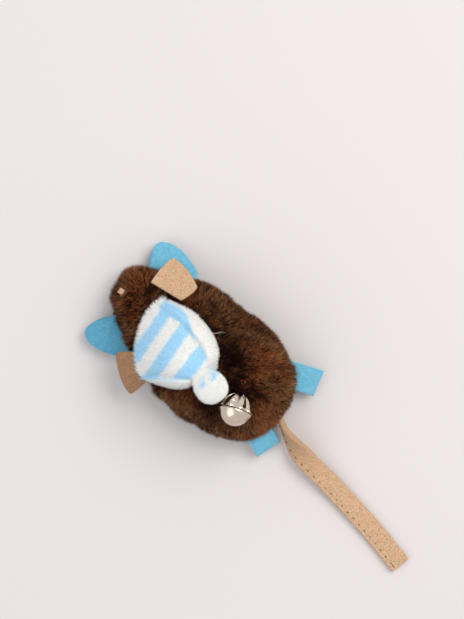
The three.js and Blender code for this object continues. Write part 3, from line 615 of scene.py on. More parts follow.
# %% Partings and patches
# Threads draw the cloth in where the pile parts. The partings by the cap, the pom-pom, the bell and the nose
# also darken the pile as painted shade for the shade that falls there.
PARTINGS_AND_SHADE = [  # where the pile parts, and painted shade in its valleys: x, y, reach along x, reach along y, depth
    (-8.5, -4.0, 3.5, 7.0, 0.7), (-6.5, 6.0, 4.5, 7.0, 0.95), (-2.0, 14.0, 4.0, 6.0, 1.0),
    (0.8, 21.6, 2.0, 2.6, 1.0), (-1.4, 25.0, 2.0, 3.0, 1.0), (1.0, -30.5, 4.0, 2.0, 0.9),
    (-1.2, -38.8, 3.0, 1.5, 0.8), (-7.5, -27.5, 3.5, 2.5, 0.8), (10.0, 11.0, 7.0, 4.5, 1.0),
    (-14.0, -7.0, 1.6, 4.0, 0.4), (-13.5, 3.5, 5.0, 1.8, 0.35), (-8.0, 34.0, 5.0, 1.6, 0.35),
    (12.0, -20.0, 3.0, 5.0, 0.5),
]
PATCHES = [  # where the pile lies over, to its light, rusty side or its dark one: x, y, reach, strength
    (-7.5, 19.5, 7.5, 0.32), (-3.0, -35.0, 6.0, 0.3), (-16.0, 12.0, 6.0, -0.2), (-18.0, 2.0, 9.0, -0.32),
    (-9.5, -37.0, 5.0, 0.25), (12.0, 24.0, 6.0, 0.18), (5.0, 30.0, 5.0, 0.7), (-2.5, 29.0, 4.5, 0.4),
    (-13.5, 20.0, 6.0, 0.15), (15.0, 5.0, 5.0, 0.12),
]


def parting_and_shade(points):
    """How deep the pile's parting and its painted shade are at each point of the back, from 0 to 1."""
    depth = np.zeros(len(points))
    x, y = (points + 1.6 * drift_vector(points, 7, 95))[:, :2].T
    for middle_x, middle_y, wide, long, deep in PARTINGS_AND_SHADE:
        off = ((x - middle_x) / wide) ** 2 + ((y - middle_y) / long) ** 2
        depth = np.maximum(depth, deep * np.exp(-off))
    return depth * (points[:, 2] > SEAM_HEIGHT)


def laid_over(points):
    """How much of its light side the pile shows at each point because it lies over."""
    laid = np.zeros(len(points))
    for x, y, reach, much in PATCHES:
        laid += much * np.exp(-(((points[:, 0] - x) ** 2 + (points[:, 1] - y) ** 2) / reach**2))
    return laid


print("partings:", len(PARTINGS_AND_SHADE), "and patches:", len(PATCHES))

# %% The colour of each hair
FUR_ROOT, FUR_DARK, FUR_MID, FUR_RUST, FUR_TIP = (
    linear(c) for c in ("#100502", "#200d06", "#6e391d", "#ac541c", "#bb8f64"))


def smooth(values, low, high):
    """0 below low, 1 above high, and an even ease between them."""
    t = np.clip((np.asarray(values, float) - low) / (high - low), 0, 1)
    return t * t * (3 - 2 * t)


def mix(a, b, share):
    """A blend of two colours, or of two rows of colours."""
    share = np.asarray(share)[..., None]
    return a * (1 - share) + b * share


def fur_colours(points, ways, tuft, seed):
    """Root, middle and tip colour of each hair, with painted shade on the bag's low sides."""
    rng = np.random.default_rng(seed)
    by_tuft = rng.normal(size=tuft.max() + 1)[tuft]
    by_hair = rng.normal(size=len(points))
    gleam = np.exp(0.4 * rng.normal(size=len(points)))[:, None]
    # painted shade and partings: their depth darkens the pile below
    parting_and_painted_shade, laid = parting_and_shade(points), laid_over(points)
    light = 0.39 + laid
    for much, size, field in ((0.24, 9, 101), (0.2, 2.6, 102), (0.3, 1.0, 104)):
        light = light + much * drift(points, size, field)
    light += (0.2 * by_tuft + 0.8 * by_hair) * (1 - 0.65 * parting_and_painted_shade)
    holes = smooth(drift(points, 3.6, 103), 0.6, 1.5)
    # painted shade: the pile is darker where the bag turns down towards the seam and the floor
    low_sides_painted_shade = 1 - smooth(ways[:, 2], -0.1, 0.55)
    light -= 0.5 * holes + 0.85 * parting_and_painted_shade + 0.3 * low_sides_painted_shade
    warm = drift(points, 13, 82) + 0.5 * drift(points, 5, 92)
    rusty = (0.55 + 0.4 * smooth(laid, 0.35, 0.65)) * smooth(warm + 2 * laid, 0.0, 1.3)
    body = mix(FUR_DARK, FUR_MID, smooth(light, 0.05, 0.6))
    body = mix(body, FUR_RUST, rusty * smooth(light, 0.3, 0.8))
    tip = mix(body, FUR_TIP, 0.8 * smooth(light, 0.35, 0.9) * (1 - 0.4 * smooth(warm, 0.2, 1.2)))
    return np.stack([mix(FUR_ROOT, body, 0.2), body * gleam**0.5, np.clip(tip * gleam, 0, 0.9)], 1)


colours = fur_colours(roots, ways, tuft, 111)
print("mean tip colour:", colours[:, 2].mean(0).round(3))

# %% Fur materials
def pile_material(name, roughness, gleam):
    """A material of hairs that takes each hair's own colour from the mesh."""
    material, tree = new_material(name)
    hue = node(
        tree, "ShaderNodeAttribute", (-200, 0),
        {"attribute_name": "pile_colour", "attribute_type": "GEOMETRY"})
    surface = node(
        tree, "ShaderNodeBsdfPrincipled", (200, 0), Base_Color=hue.outputs["Color"], Roughness=roughness,
        Specular_IOR_Level=gleam)
    node(tree, "ShaderNodeOutputMaterial", (600, 0), Surface=surface.outputs[0])
    return material


acrylic_pile = pile_material("acrylic_pile_fur", 0.7, 0.12)  # dyed acrylic fibre: a soft gleam at its bends

knit_backing, tree = new_material("knit_backing_dark")  # the polyester knit that the pile is locked into
spot = node(tree, "ShaderNodeTexCoord", (-800, 0)).outputs["Object"]
loops = node(
    tree, "ShaderNodeTexWave", (-500, 100), {"bands_direction": "X"}, Vector=spot, Scale=350.0,
    Distortion=2.0)
shade = node(
    tree, "ShaderNodeMix", (-200, 100), {"data_type": "RGBA"}, i0=loops.outputs["Fac"], i6="#1a0d07",
    i7="#2c170d")
surface = node(tree, "ShaderNodeBsdfPrincipled", (200, 0), Base_Color=shade.outputs[2], Roughness=0.9)
node(tree, "ShaderNodeOutputMaterial", (600, 0), Surface=surface.outputs[0])
print("made", acrylic_pile.name, "and", knit_backing.name)

# %% The body's pieces
QUICK_WIDER = 1.0
HAIRS_IN_PIECE = 22_000

fur_cloth.data.materials.append(knit_backing)
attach(fur_cloth, "mouse_body")
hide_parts("back_panel", "belly_panel")
hair_widths = 0.21 * (1 + 0.25 * chance(6, len(roots))).clip(0.5, 1.6) * QUICK_WIDER
order = np.argsort(roots[:, 1])
for k, part in enumerate(np.array_split(order, max(1, math.ceil(len(order) / HAIRS_IN_PIECE)))):
    piece = plant(
        f"fur_pile_{k + 1}", courses[part], hair_widths[part], colours[part], acrylic_pile, "mouse_body",
        ways[part], 0.16)
    print(piece.name, len(piece.data.polygons), "faces")

# %% [markdown]
# ## The striped cap
#
# The cap is one cone of striped plush with a pile of a little over a millimetre. Lying down it forms a flat
# striped top with a soft roll along each side, where the cloth turns under, and its point is gathered into
# a neck with thread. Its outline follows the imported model. The stripes run straight across the cloth, and
# the rolls show the next stripe from its side, so their colours run along them.

# %% The cap's outline
CAP_WIDTH, CAP_LENGTH, CAP_HEIGHT, CAP_BULGE = 29.9, 28.8, 7.0, 5.2
END_DENT = 1.4  # how far the middle of the cap's end lies back from its sides, which puff out round the neck
CAP_PLACE = np.array([0.1065 * BODY_WIDTH, NOSE_Y + 0.3174 * BODY_LENGTH])
RIGHT_SHARES = [
    [-0.462, -0.195], [-0.535, 0.162], [-0.516, 0.318], [-0.478, 0.477], [-0.41, 0.61], [-0.32, 0.72],
    [-0.2, 0.775]]
LEFT_SHARES = [[0.463, 0.195], [0.368, 0.444], [0.3, 0.565], [0.22, 0.65], [0.12, 0.69]]
RIGHT_EDGE, LEFT_EDGE = (
    CAP_PLACE + np.array(shares) * np.array([CAP_WIDTH, CAP_LENGTH])
    for shares in (RIGHT_SHARES, LEFT_SHARES))


def course_of(points, shares):
    """Places at equal shares of length along a smooth curve through some points."""
    points = np.asarray(points, float)
    padded = np.vstack([2 * points[0] - points[1], points, 2 * points[-1] - points[-2]])
    t = np.linspace(0, 1, 24, endpoint=False)[:, None]
    pieces = []
    for a, b, c, d in zip(padded, padded[1:], padded[2:], padded[3:]):
        line = 2 * b + (c - a) * t
        pieces.append(0.5 * (line + (2 * a - 5 * b + 4 * c - d) * t**2 + (3 * b - a - 3 * c + d) * t**3))
    fine = np.vstack(pieces + [points[-1:]])
    length = np.concatenate([[0], np.cumsum(np.linalg.norm(np.diff(fine, axis=0), axis=1))])
    wanted = np.clip(shares, 0, 1) * length[-1]
    return np.stack([np.interp(wanted, length, fine[:, k]) for k in range(fine.shape[1])], -1)


def cap_plan(along, across):
    """Where a place of the cap lies, seen from above: along from the brim, across from the mouse's right."""
    right, left = course_of(RIGHT_EDGE, along), course_of(LEFT_EDGE, along)
    brim = unit(LEFT_EDGE[0] - RIGHT_EDGE[0])
    forward = np.array([brim[1], -brim[0]])
    share = ((across + 1) / 2)[..., None]
    bulge = CAP_BULGE * (1 - np.abs(across) ** 2.6) * (1 - along) ** 1.5
    bulge = bulge + END_DENT * (1 - across**6) * along**7
    return right * (1 - share) + left * share + forward * bulge[..., None]


print("the cap's brim middle:", cap_plan(np.array([0.0]), np.array([0.0])).round(1))

# %% The cap's seat, rise and valleys
SEAT_SPREAD = 3.0  # the pile under the cap makes the head a little wider
SEAT_LEAST = 0.6  # of the crown, below which the cap's cloth hangs free
VALLEY_RIGHT = (-0.84, -0.42)  # where across the roll meets the flat top, at the brim and at the neck
VALLEY_LEFT = (0.93, 0.56)
RISE_SHARES = [[0, 0.42], [0.12, 0.72], [0.35, 1], [0.7, 0.96], [1, 0.84]]


def cap_seat(x, y):
    """Height of what the cap's cloth rests on."""
    crown = body_at(y)[2]
    share = (back_height(x, y, SEAT_SPREAD) - SEAM_HEIGHT) / crown
    return SEAM_HEIGHT + crown * (share**6 + SEAT_LEAST**6) ** (1 / 6) + 0.3


def rise_at(along):
    """How high the cap stands at a share of its length, as a share of its height."""
    return course_of(RISE_SHARES, along)[..., 1]


def valleys(along):
    """How far across the cap its two valleys are, the right one and the left one."""
    return (
        VALLEY_RIGHT[0] + (VALLEY_RIGHT[1] - VALLEY_RIGHT[0]) * along**0.8,
        VALLEY_LEFT[0] + (VALLEY_LEFT[1] - VALLEY_LEFT[0]) * along)


print("the cap's seat at its middle:", round(float(cap_seat(*CAP_PLACE)), 1), "mm")

# %% The cap's cloth
CAP_ROWS, CAP_COLUMNS = 64, 90
CAP_WRAP = 128  # degrees from the top of the cap down round each side, to where its cloth closes underneath


def side_at(turn):
    """How far across the cap a place is, at a turn from its top."""
    return bent(np.sin(turn), 0.8)


def cap_grid():
    """The cap's cloth as a grid: from the brim to the neck, and over the top from left to right."""
    turn = np.radians(np.linspace(CAP_WRAP, -CAP_WRAP, CAP_COLUMNS))[None]
    along, turn = np.broadcast_arrays(np.linspace(0, 1, CAP_ROWS)[:, None], turn)
    across, high = side_at(turn), bent(np.cos(turn), 0.62)
    spot = cap_plan(along.ravel(), (across * 0.945).ravel()).reshape(*along.shape, 2)
    seat = cap_seat(spot[..., 0], spot[..., 1])
    top = CAP_HEIGHT * rise_at(along.ravel()).reshape(along.shape) - 2.6
    right, left = valleys(along)
    # each hump has a height in mm, a place across and a reach across
    dent = 1.5 * hump((across - right) / 0.075) + 0.9 * hump((across - left) / 0.07)
    puff = 0.5 * hump((across - right + 0.22) / 0.13) + 0.4 * hump((across - left - 0.16) / 0.1)
    puff += 0.5 * hump((across - 0.2) / 0.35)
    ease = np.sin(np.pi * np.clip(along * 0.8 + 0.16, 0, 1))
    z = seat + 1.4 + np.where(high > 0, top * high, 1.3 * high) + ease * (puff - dent) * (high > 0)
    return np.concatenate([spot, z[..., None]], -1)


cap_points = cap_grid()
print("the cap's cloth is", round(float(np.ptp(cap_points[..., 0])), 1), "mm wide")

# %% The cap's gathered neck
NECK_ROWS, NECK_RADIUS, PLEATS, PLEAT_DEPTH = 10, 1.5, 9, 0.14
NECK_RUN = 1.6  # how far the cloth runs on from the cap before it turns in to the neck
POMPOM_MIDDLE, TIE_MIDDLE = middle_of("pompom_filling"), middle_of("hat_tie")
NECK_AXIS = unit(POMPOM_MIDDLE - TIE_MIDDLE)
NECK_SIDE = unit(np.cross(NECK_AXIS, [0, 0, 1.0]))
NECK_TOP = np.cross(NECK_SIDE, NECK_AXIS)


def neck_rows(grid):
    """The rows in which the cap's point is gathered into a round neck at its tie."""
    turn = np.radians(np.linspace(180, -180, grid.shape[1]))[:, None]
    pleats = 1 + PLEAT_DEPTH * np.cos(PLEATS * turn)
    ring = TIE_MIDDLE + NECK_RADIUS * pleats * (np.sin(turn) * NECK_SIDE + np.cos(turn) * NECK_TOP)
    last, before = grid[-1], grid[-2]
    ahead = last + unit(last - before) * NECK_RUN
    share = np.linspace(0, 1, NECK_ROWS + 1)[1:, None, None]
    return (1 - share) ** 2 * last + 2 * share * (1 - share) * ahead + share**2 * ring


cap_points = np.concatenate([cap_points, neck_rows(cap_points)])
print("cap cloth from", cap_points.min((0, 1)).round(1), "to", cap_points.max((0, 1)).round(1))

# %% The cap's stripes
PLUSH_WHITE, PLUSH_BLUE = linear("#f2f4f2"), linear("#b3e2fe")
STRIPES_X = 4.3
STRIPES = [(-19.0, 0.07, 4.0), (-10.5, 0.04, 4.4), (-1.4, -0.02, 4.8)]  # y at STRIPES_X, slope, width
BAND_Y = [-23.0, -16.2, -13.0, -10.4, -6.5, -4.5]
BAND_WIDTH = [2.6, 3.3, 2.7, 1.7, 0.7, 0.0]  # how far the blue reaches over the right-hand roll
RIGHT_BLUE_Y = (-22.3, -4.5)  # from where to where the right-hand roll is blue
LEFT_BLUE_Y, LEFT_FAINT_Y = (-12.6, -7.5), (-7.5, -2.0)  # where the left-hand one is, and is faintly


def between(values, low, high, ease=0.35):
    """1 from low to high, with soft ends."""
    return smooth(values, low - ease, low + ease) * (1 - smooth(values, high - ease, high + ease))


def blue_share(points, along, across):
    """How blue the cap's cloth is at each point: 0 white, 1 blue."""
    x, y = points[:, 0], points[:, 1] + 0.1 * drift(points, 4, 201)
    half = CAP_WIDTH / 2 * (1 - 0.5 * along)
    right, left = valleys(along)
    in_right, in_left = (across - right) * half, (left - across) * half
    stripes = np.zeros(len(x))
    for middle, slope, wide in STRIPES:
        stripes = np.maximum(stripes, between(y - middle - slope * (x - STRIPES_X), -wide / 2, wide / 2))
    flat = smooth(in_right, -0.5, 0.3) * smooth(in_left, -0.9, -0.2)
    band = np.interp(y, BAND_Y, BAND_WIDTH)
    edge = smooth(in_right, -band - 0.4, -band + 0.4) * (1 - smooth(in_right, 0.1, 0.8))
    edge *= between(y, *RIGHT_BLUE_Y, 0.6)
    hem = np.maximum(between(y, *LEFT_BLUE_Y, 0.9), 0.35 * between(y, *LEFT_FAINT_Y, 0.9))
    hem *= between(in_left, -1.5, 0.1, 0.3)
    on_top = points[:, 2] > cap_seat(x, points[:, 1]) + 1.0
    return np.clip(np.maximum(np.maximum(stripes * flat, edge), hem), 0, 1) * on_top


print("widest stripe:", max(wide for _, _, wide in STRIPES), "mm")

# %% A closed shell of the cap's cloth
CAP_CLOTH_THICK = 0.55


def cloth_shell(name, outer, depth):
    """A closed shell of cloth from a grid that closes on itself across, with its inside at a depth."""
    wide = np.concatenate([outer[:, -1:], outer, outer[:, :1]], 1)
    normals = grid_normals(wide)[:, 1:-1]
    inner = outer - normals * depth
    hem = outer[0] - normals[0] * depth / 2 + unit(outer[0] - outer[1]) * depth / 2
    tail = outer[-1] - normals[-1] * depth / 2 + unit(outer[-1] - outer[-2]) * depth / 2
    shell = np.concatenate([hem[None], outer, tail[None], inner[::-1]], 0)
    index = np.arange(shell.shape[0] * shell.shape[1]).reshape(shell.shape[:2])
    ahead, beside = np.roll(index, -1, 0), np.roll(index, -1, 1)
    faces = np.stack([index, beside, np.roll(ahead, -1, 1), ahead], -1).reshape(-1, 4)
    return closed_piece(name, shell, faces.tolist())


cap_cloth = cloth_shell("cap_cloth", cap_points, CAP_CLOTH_THICK)
far = np.minimum(1, np.arange(len(cap_points)) / (CAP_ROWS - 1))
shell_far = np.repeat(np.concatenate([far[:1], far, far[-1:], far[::-1]]), CAP_COLUMNS)
cap_sides = side_at(np.radians(np.linspace(CAP_WRAP, -CAP_WRAP, CAP_COLUMNS)))
shell_side = np.tile(cap_sides, len(shell_far) // CAP_COLUMNS)
cap_blue = blue_share(vertices(cap_cloth), shell_far, shell_side)
paint(cap_cloth.data, mix(PLUSH_WHITE, PLUSH_BLUE, cap_blue))
print("cap cloth:", len(cap_cloth.data.polygons), "faces, blue over", round(float(cap_blue.mean()), 2))

# %% The cap's plush
PLUSH_WIDTH = 0.16 * QUICK_WIDER
CAP_HAIRS = 32_000


def plush_colours(blue, uneven, seed):
    """Root, middle and tip colour of each hair of the plush, from how blue it is, with painted shade at the
    root and painted light at the tip.
    """
    hue = mix(PLUSH_WHITE, PLUSH_BLUE, blue) * (1 + uneven * chance(seed, (len(blue), 1)))
    # painted shade and light: roots and middles darker, tips lighter, for the shade that falls between the
    # hairs
    return np.stack([hue * 0.8, hue * 0.95, np.clip(hue * 1.06, 0, 0.95)], 1)


plush_pile = pile_material("short_plush_pile", 0.85, 0.15)  # brushed polyester: matt, bright, a faint gleam
cap_loop = np.concatenate([cap_points, cap_points[:, :1]], 1)
roots, ways, along, around = scatter(cap_loop, CAP_HAIRS, 211)
open_side = (ways[:, 2] > -0.6) | (roots[:, 1] < -20)
roots, ways, along, around = (values[open_side] for values in (roots, ways, along, around))
cap_far = np.minimum(1, along * (len(cap_loop) - 1) / (CAP_ROWS - 1))
cap_turn = np.radians(CAP_WRAP - 2 * CAP_WRAP * np.minimum(1, around * CAP_COLUMNS / (CAP_COLUMNS - 1)))
print("cap hairs:", len(roots))

# %% The course of the cap's plush
TO_NECK, TO_BRIM = np.array([0.2, 3.0, 0]), np.array([0, -1.0, 0])

at_brim = smooth(-cap_far, -0.07, -0.01) * (roots[:, 1] < -9)
at_neck = smooth(cap_far, 0.93, 0.99)
lean = 0.12 * drift_vector(roots, 1.8, 221) + 0.25 * drift_vector(roots, 7.0, 231)
lean += np.array([-0.1, -0.25, 0])
lean += 0.45 * chance(240, roots.shape)
lean = along_cloth(lean + (at_neck[:, None] * TO_NECK + at_brim[:, None] * TO_BRIM), ways)
lengths = np.clip(1.3 + 0.18 * chance(242, len(roots)) + 0.9 * at_brim + 1.1 * at_neck, 0.7, 2.6)
cap_rows = comb(roots, ways, lengths, lean, 0.35 * chance(241, roots.shape))
cap_colours = plush_colours(blue_share(roots, cap_far, side_at(cap_turn)), 0.1, 243)
cap_widths = PLUSH_WIDTH * (1 + 0.2 * chance(244, len(roots))).clip(0.5, 1.5)
print("longest hair of the cap:", round(float(lengths.max()), 2), "mm")

cap_cloth.data.materials.append(plush_pile)
cap_piles = []
for k, part in enumerate(np.array_split(np.argsort(roots[:, 1]), 2)):
    cap_piles.append(plant(
        f"cap_pile_{k + 1}", cap_rows[part], cap_widths[part], cap_colours[part], plush_pile, None,
        ways[part], 0.5))
    cap_piles[-1].visible_shadow = False  # white and pale fibres let the light through to each other
for piece in (cap_cloth, *cap_piles):
    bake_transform(piece)
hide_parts("hat_crown", "hat_tip")
print("cap pieces:", cap_cloth.name, *(piece.name for piece in cap_piles))

# %% [markdown]
# ## Suede and felt
#
# Ears and tail are cut from thin suede, paws and feet from felt. Each is a sheet with a real thickness
# whose cut edge is a little rounded. The ears droop from their root line on the head. Paws and feet are
# held in the seam and sag towards their free edge.

# %% Where the sheets start
SUEDE_THICK, FELT_THICK, SEAT_GAP, SEAM_CLEARANCE = 0.9, 1.2, 0.32, 0.45
ROOT_DEPTH = 1.9  # how far paws, feet and tail reach into the fur, which hides their root


def over_back(x, y, distance):
    """Height of a point held over the back at a distance square to it."""
    step = 0.2
    slope_x = (back_height(x + step, y) - back_height(x - step, y)) / (2 * step)
    slope_y = (back_height(x, y + step) - back_height(x, y - step)) / (2 * step)
    return back_height(x, y) + distance * np.sqrt(1 + slope_x**2 + slope_y**2)


def leave_body(inner, outer, clearance=-ROOT_DEPTH):
    """Where lines at seam height from inside the body to points outside leave the fur."""
    low, high = np.zeros(len(inner)), np.ones(len(inner))
    for _ in range(24):
        share = (low + high) / 2
        spot = inner + (outer - inner) * share[:, None]
        middle, half, _, _ = body_at(spot[:, 1])
        inside = np.abs(spot[:, 0] - middle) < half
        low, high = np.where(inside, share, low), np.where(inside, high, share)
    return inner + (outer - inner) * low[:, None] + unit(outer - inner) * clearance


print("the back at the right ear's root:", round(float(over_back(-11.0, -24.0, 0.0)), 1))

# %% Sheets with a thickness
EDGE_ROUNDING = 0.22  # how far the faces of a sheet end before its rim, as a share of its thickness
RIM_TONE = 0.55  # how much of its second tone a sheet shows where its faces end; its rim shows all of it


def rim_of(grid):
    """The places round the edge of a grid, in turn."""
    return np.concatenate([grid[0], grid[1:, -1], grid[-1, -2::-1], grid[-2:0:-1, 0]])


def sheet_piece(name, middle, thick, wave, seed):
    """A closed sheet round a grid of middle points, with rounded edges and a ripple, and its two faces."""
    normals = grid_normals(middle)
    ripple = wave * drift(middle.reshape(-1, 3), 9, seed).reshape(middle.shape[:2])
    middle = middle + normals * ripple[..., None]
    index = np.arange(middle[..., 0].size).reshape(middle.shape[:2])
    rim, rim_index = rim_of(middle), rim_of(index)
    inward = np.concatenate([middle[1], middle[1:, -2], middle[-2, -2::-1], middle[-2:0:-1, 1]])
    flat = middle.reshape(-1, 3).copy()
    flat[rim_index] += unit(inward - rim) * thick * EDGE_ROUNDING
    top, bottom = (flat + normals.reshape(-1, 3) * thick * side for side in (0.5, -0.5))
    total = index.size
    quads = np.stack(corners_of(index), -1).reshape(-1, 4)
    faces = [*quads.tolist(), *(quads[:, ::-1] + total).tolist()]
    edge = 2 * total + np.arange(len(rim))
    for a, b, c, d in np.stack([rim_index, np.roll(rim_index, -1), edge, np.roll(edge, -1)], 1).tolist():
        faces += [[a, b, d, c], [c, d, b + total, a + total]]
    made = closed_piece(name, np.concatenate([top, bottom, rim]), faces)
    tone = np.zeros(2 * total + len(rim), np.float32)
    tone[rim_index], tone[2 * total :] = RIM_TONE, 1
    made.data.attributes.new("second_tone", "FLOAT", "POINT").data.foreach_set("value", tone)
    return made, top, bottom


def cut_area(middle):
    """Area of a sheet's middle, in square metres."""
    return float(cell_areas(middle).sum()) * MM * MM


print("suede", SUEDE_THICK, "mm and felt", FELT_THICK, "mm thick")

# %% The shape of the ears
EAR_LENGTH, EAR_REACH, EAR_DROOP, DROOP_POWER = 15.0, 12.0, 5.2, 1.4
EAR_ROWS, EAR_COLUMNS = 26, 34


def sheet_shares(rows, columns):
    """Shares v down the rows and u across the columns of a sheet."""
    return np.meshgrid(np.linspace(0, 1, rows), np.linspace(0, 1, columns), indexing="ij")


def way_at(degrees):
    """A level way at an angle from the x axis."""
    return np.array([math.cos(math.radians(degrees)), math.sin(math.radians(degrees))])


def left_of(way):
    """The level way to the left of another."""
    return np.array([-way[1], way[0]])


def ear_middle(side, heading, corner, place, root, front, rear, droop):
    """An ear's middle: four-sided, from a root line on the head out to a free edge that droops.

    place is its start, as shares of the cap's width and the body's length. root is the length of its root
    line, and front and rear are the corners of its free edge, all as shares of EAR_LENGTH and EAR_REACH.
    """
    v, u = sheet_shares(EAR_ROWS, EAR_COLUMNS)
    outward = way_at(heading)
    rearward = left_of(outward) * side
    origin = np.array([corner[0] + place[0] * CAP_WIDTH, NOSE_Y + place[1] * BODY_LENGTH])

    def spot_at(far, out):
        return origin + far[..., None] * EAR_LENGTH * rearward + out[..., None] * EAR_REACH * outward

    seat = spot_at(root * u, 0 * u)
    free_far, free_out = front[0] + (rear[0] - front[0]) * u, front[1] + (rear[1] - front[1]) * u
    spot = seat + (spot_at(free_far, free_out + 0.4 * u * (1 - u)) - seat) * v[..., None]
    narrowed = 0.09 * v**8 + 0.1 * (1 - v) ** 5
    corners_in = 0.07 * (np.abs(2 * u - 1) ** 8 * v)
    spot += (spot.mean(1, keepdims=True) - spot) * narrowed[..., None] - (spot - seat) * corners_in[..., None]
    held = over_back(seat[..., 0], seat[..., 1], SUEDE_THICK / 2 + SEAT_GAP)
    return np.concatenate([spot, (held - droop * EAR_DROOP * v**DROOP_POWER)[..., None]], -1)


FLAPS = {
    "ear_right": ear_middle(-1, 186.7, RIGHT_EDGE[0], (-0.032, 0.14), 0.91, (0.13, 1), (1.07, 0.56), 0.84),
    "ear_left": ear_middle(1, -34.5, LEFT_EDGE[0], (-0.226, 0.289), 0.74, (-0.15, 0.66), (0.97, 0.66), 1.0),
}
print("ears cover", [round(cut_area(middle) * 1e6) for middle in FLAPS.values()], "square mm")

# %% The shapes of the paws and feet
LEAF = np.array([[0.02, 0.3], [0.02, 0.66], [0.1, 0.95], [0.34, 1], [0.64, 0.78], [0.87, 0.42], [1, 0.14]])
LEAF_COLUMNS, FOOT_COLUMNS, FLAP_ROWS = 44, 30, 22
PAW_DROOP, FOOT_DROOP, FOOT_WIDE = 2.6, 2.8, 9.8


def flap_middle(inner, free, droop):
    """A paw's or foot's middle: from the seam out to its free edge, sagging."""
    v, _ = sheet_shares(FLAP_ROWS, len(free))
    seat = leave_body(inner, free)
    spot = seat + (free - seat) * v[..., None]
    return np.concatenate([spot, (SEAM_HEIGHT - droop * v**DROOP_POWER)[..., None]], -1)


def leaf_middle(side, heading, place, length, reach=10.3):
    """A front paw's middle, cut as a leaf."""
    rearward = way_at(heading)
    outward = -left_of(rearward) * side
    start = np.array([place[0] * BODY_WIDTH, NOSE_Y + place[1] * BODY_LENGTH])
    edge = start + LEAF[:, :1] * length * rearward + LEAF[:, 1:] * reach * outward
    u = np.linspace(0, 1, LEAF_COLUMNS)
    inner = start + ((0.06 + 0.88 * u) * length)[:, None] * rearward - outward * reach / 2
    return flap_middle(inner, course_of(edge, u), PAW_DROOP)


def foot_middle(heading, end, skew, reach):
    """A hind foot's middle, a plain rectangle."""
    outward = way_at(heading)
    end = np.array([end[0] * BODY_WIDTH, NOSE_Y + end[1] * BODY_LENGTH])
    off = FOOT_WIDE * (np.linspace(0, 1, FOOT_COLUMNS) - 0.5)[:, None]
    edge = end - off * left_of(outward)
    return flap_middle(edge - 2 * reach * outward, edge + skew * off * outward, FOOT_DROOP)


FLAPS |= {
    "front_paw_right": leaf_middle(-1, 116.4, (-0.313, 0.09), 17.7),
    "front_paw_left": leaf_middle(1, 59.8, (0.182, 0.085), 15.2, 11.6),
    "hind_foot_right": foot_middle(110, (-0.412, 1.043), -0.1, 8.6),
    "hind_foot_left": foot_middle(66, (0.275, 1.044), 0.08, 6.6),
}
for name, middle in FLAPS.items():
    box = np.concatenate([middle.reshape(-1, 3).min(0), middle.reshape(-1, 3).max(0)])
    packed = np.concatenate([np.array(corner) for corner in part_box(name)]) / MM
    off = (box - packed).round(1)
    print(name, "cut", round(cut_area(middle) * 1e6), "square mm, off its packed box by", off)

# %% Suede and felt materials
def napped(name, tones, nap, sheen, second=None):
    """A material with a fine nap: mottled colour, small flecks and a soft uneven surface.

    tones are its pale, middle and dark colour, and nap is the size of its flecks and the size and depth of
    its bumps, in millimetres. Where the mesh asks for a second tone, it is the middle one or the one given.
    """
    pale, middle, dark = tones
    fleck, bump, depth = nap
    material, tree = new_material(name)
    spot = node(tree, "ShaderNodeTexCoord", (-1100, 0)).outputs["Object"]
    grains = (200, fleck * 2.6, 3.0, 0.65), (0, fleck, 2.0, 0.55), (-250, bump, 3.0, 0.7)
    mottle, flecks, fine = (
        node(tree, "ShaderNodeTexNoise", (-850, y), Vector=spot, Scale=1 / (size * MM), Detail=detail,
             Roughness=rough).outputs["Fac"]
        for y, size, detail, rough in grains)
    broad = node(tree, "ShaderNodeMapRange", (-680, 260), i0=mottle, i1=0.35, i2=0.65)
    small = node(tree, "ShaderNodeMapRange", (-680, 20), i0=flecks, i1=0.46, i2=0.33)
    edge = node(
        tree, "ShaderNodeAttribute", (-500, 400),
        {"attribute_name": "second_tone", "attribute_type": "GEOMETRY"})
    colour = middle
    for x, share, tone in ((-500, broad, pale), (-300, small, dark), (-150, edge, second or middle)):
        share = share.outputs["Fac" if share == edge else 0]
        colour = node(
            tree, "ShaderNodeMix", (x, 150), {"data_type": "RGBA"}, i0=share, i6=colour, i7=tone).outputs[2]
    bumps = node(tree, "ShaderNodeBump", (-100, -200), Height=fine, Strength=0.6, Distance=depth * MM)
    surface = node(
        tree, "ShaderNodeBsdfPrincipled", (200, 0), Base_Color=colour, Roughness=0.92, Specular_IOR_Level=0.2,
        Sheen_Weight=sheen, Sheen_Roughness=0.4, Normal=bumps.outputs[0])
    node(tree, "ShaderNodeOutputMaterial", (600, 0), Surface=surface.outputs[0])
    return material


SUEDE_TONES, SUEDE_NAP, FELT_NAP = ("#d9b796", "#c4a07d", "#8b684b"), (0.3, 0.22, 0.18), (0.5, 0.42, 0.2)
suede = napped("tan_suede", SUEDE_TONES, SUEDE_NAP, 0.1)  # split leather, buffed on both sides
suede_painted_shade = napped(  # a darker copy of the same suede, painted shade for the left ear, which droops away from the light
    "tan_suede_painted_shade", ("#a98666", "#977253", "#6c4c33"), SUEDE_NAP, 0.04)
tail_suede = napped("tan_suede_tail", SUEDE_TONES, SUEDE_NAP, 0.1, "#a5815f")  # darker towards the root
felt = napped(  # pressed polyester felt, paler at its cut edge
    "blue_felt", ("#78c0dc", "#68b2d0", "#5aa4c4"), FELT_NAP, 0.2, "#b4e2f0")
felt_painted_shade = napped(  # a darker copy of the same felt, painted shade for the left front paw, which sags away from the light
    "blue_felt_painted_shade", ("#63aac7", "#559dbb", "#478dac"), FELT_NAP, 0.1, "#8cc9de")
print("made", ", ".join(m.name for m in (suede, suede_painted_shade, tail_suede, felt, felt_painted_shade)))

# %% Loose fibres over a sheet
FIBRE_THICK, FIBRE_LOWEST = 0.05, 0.08
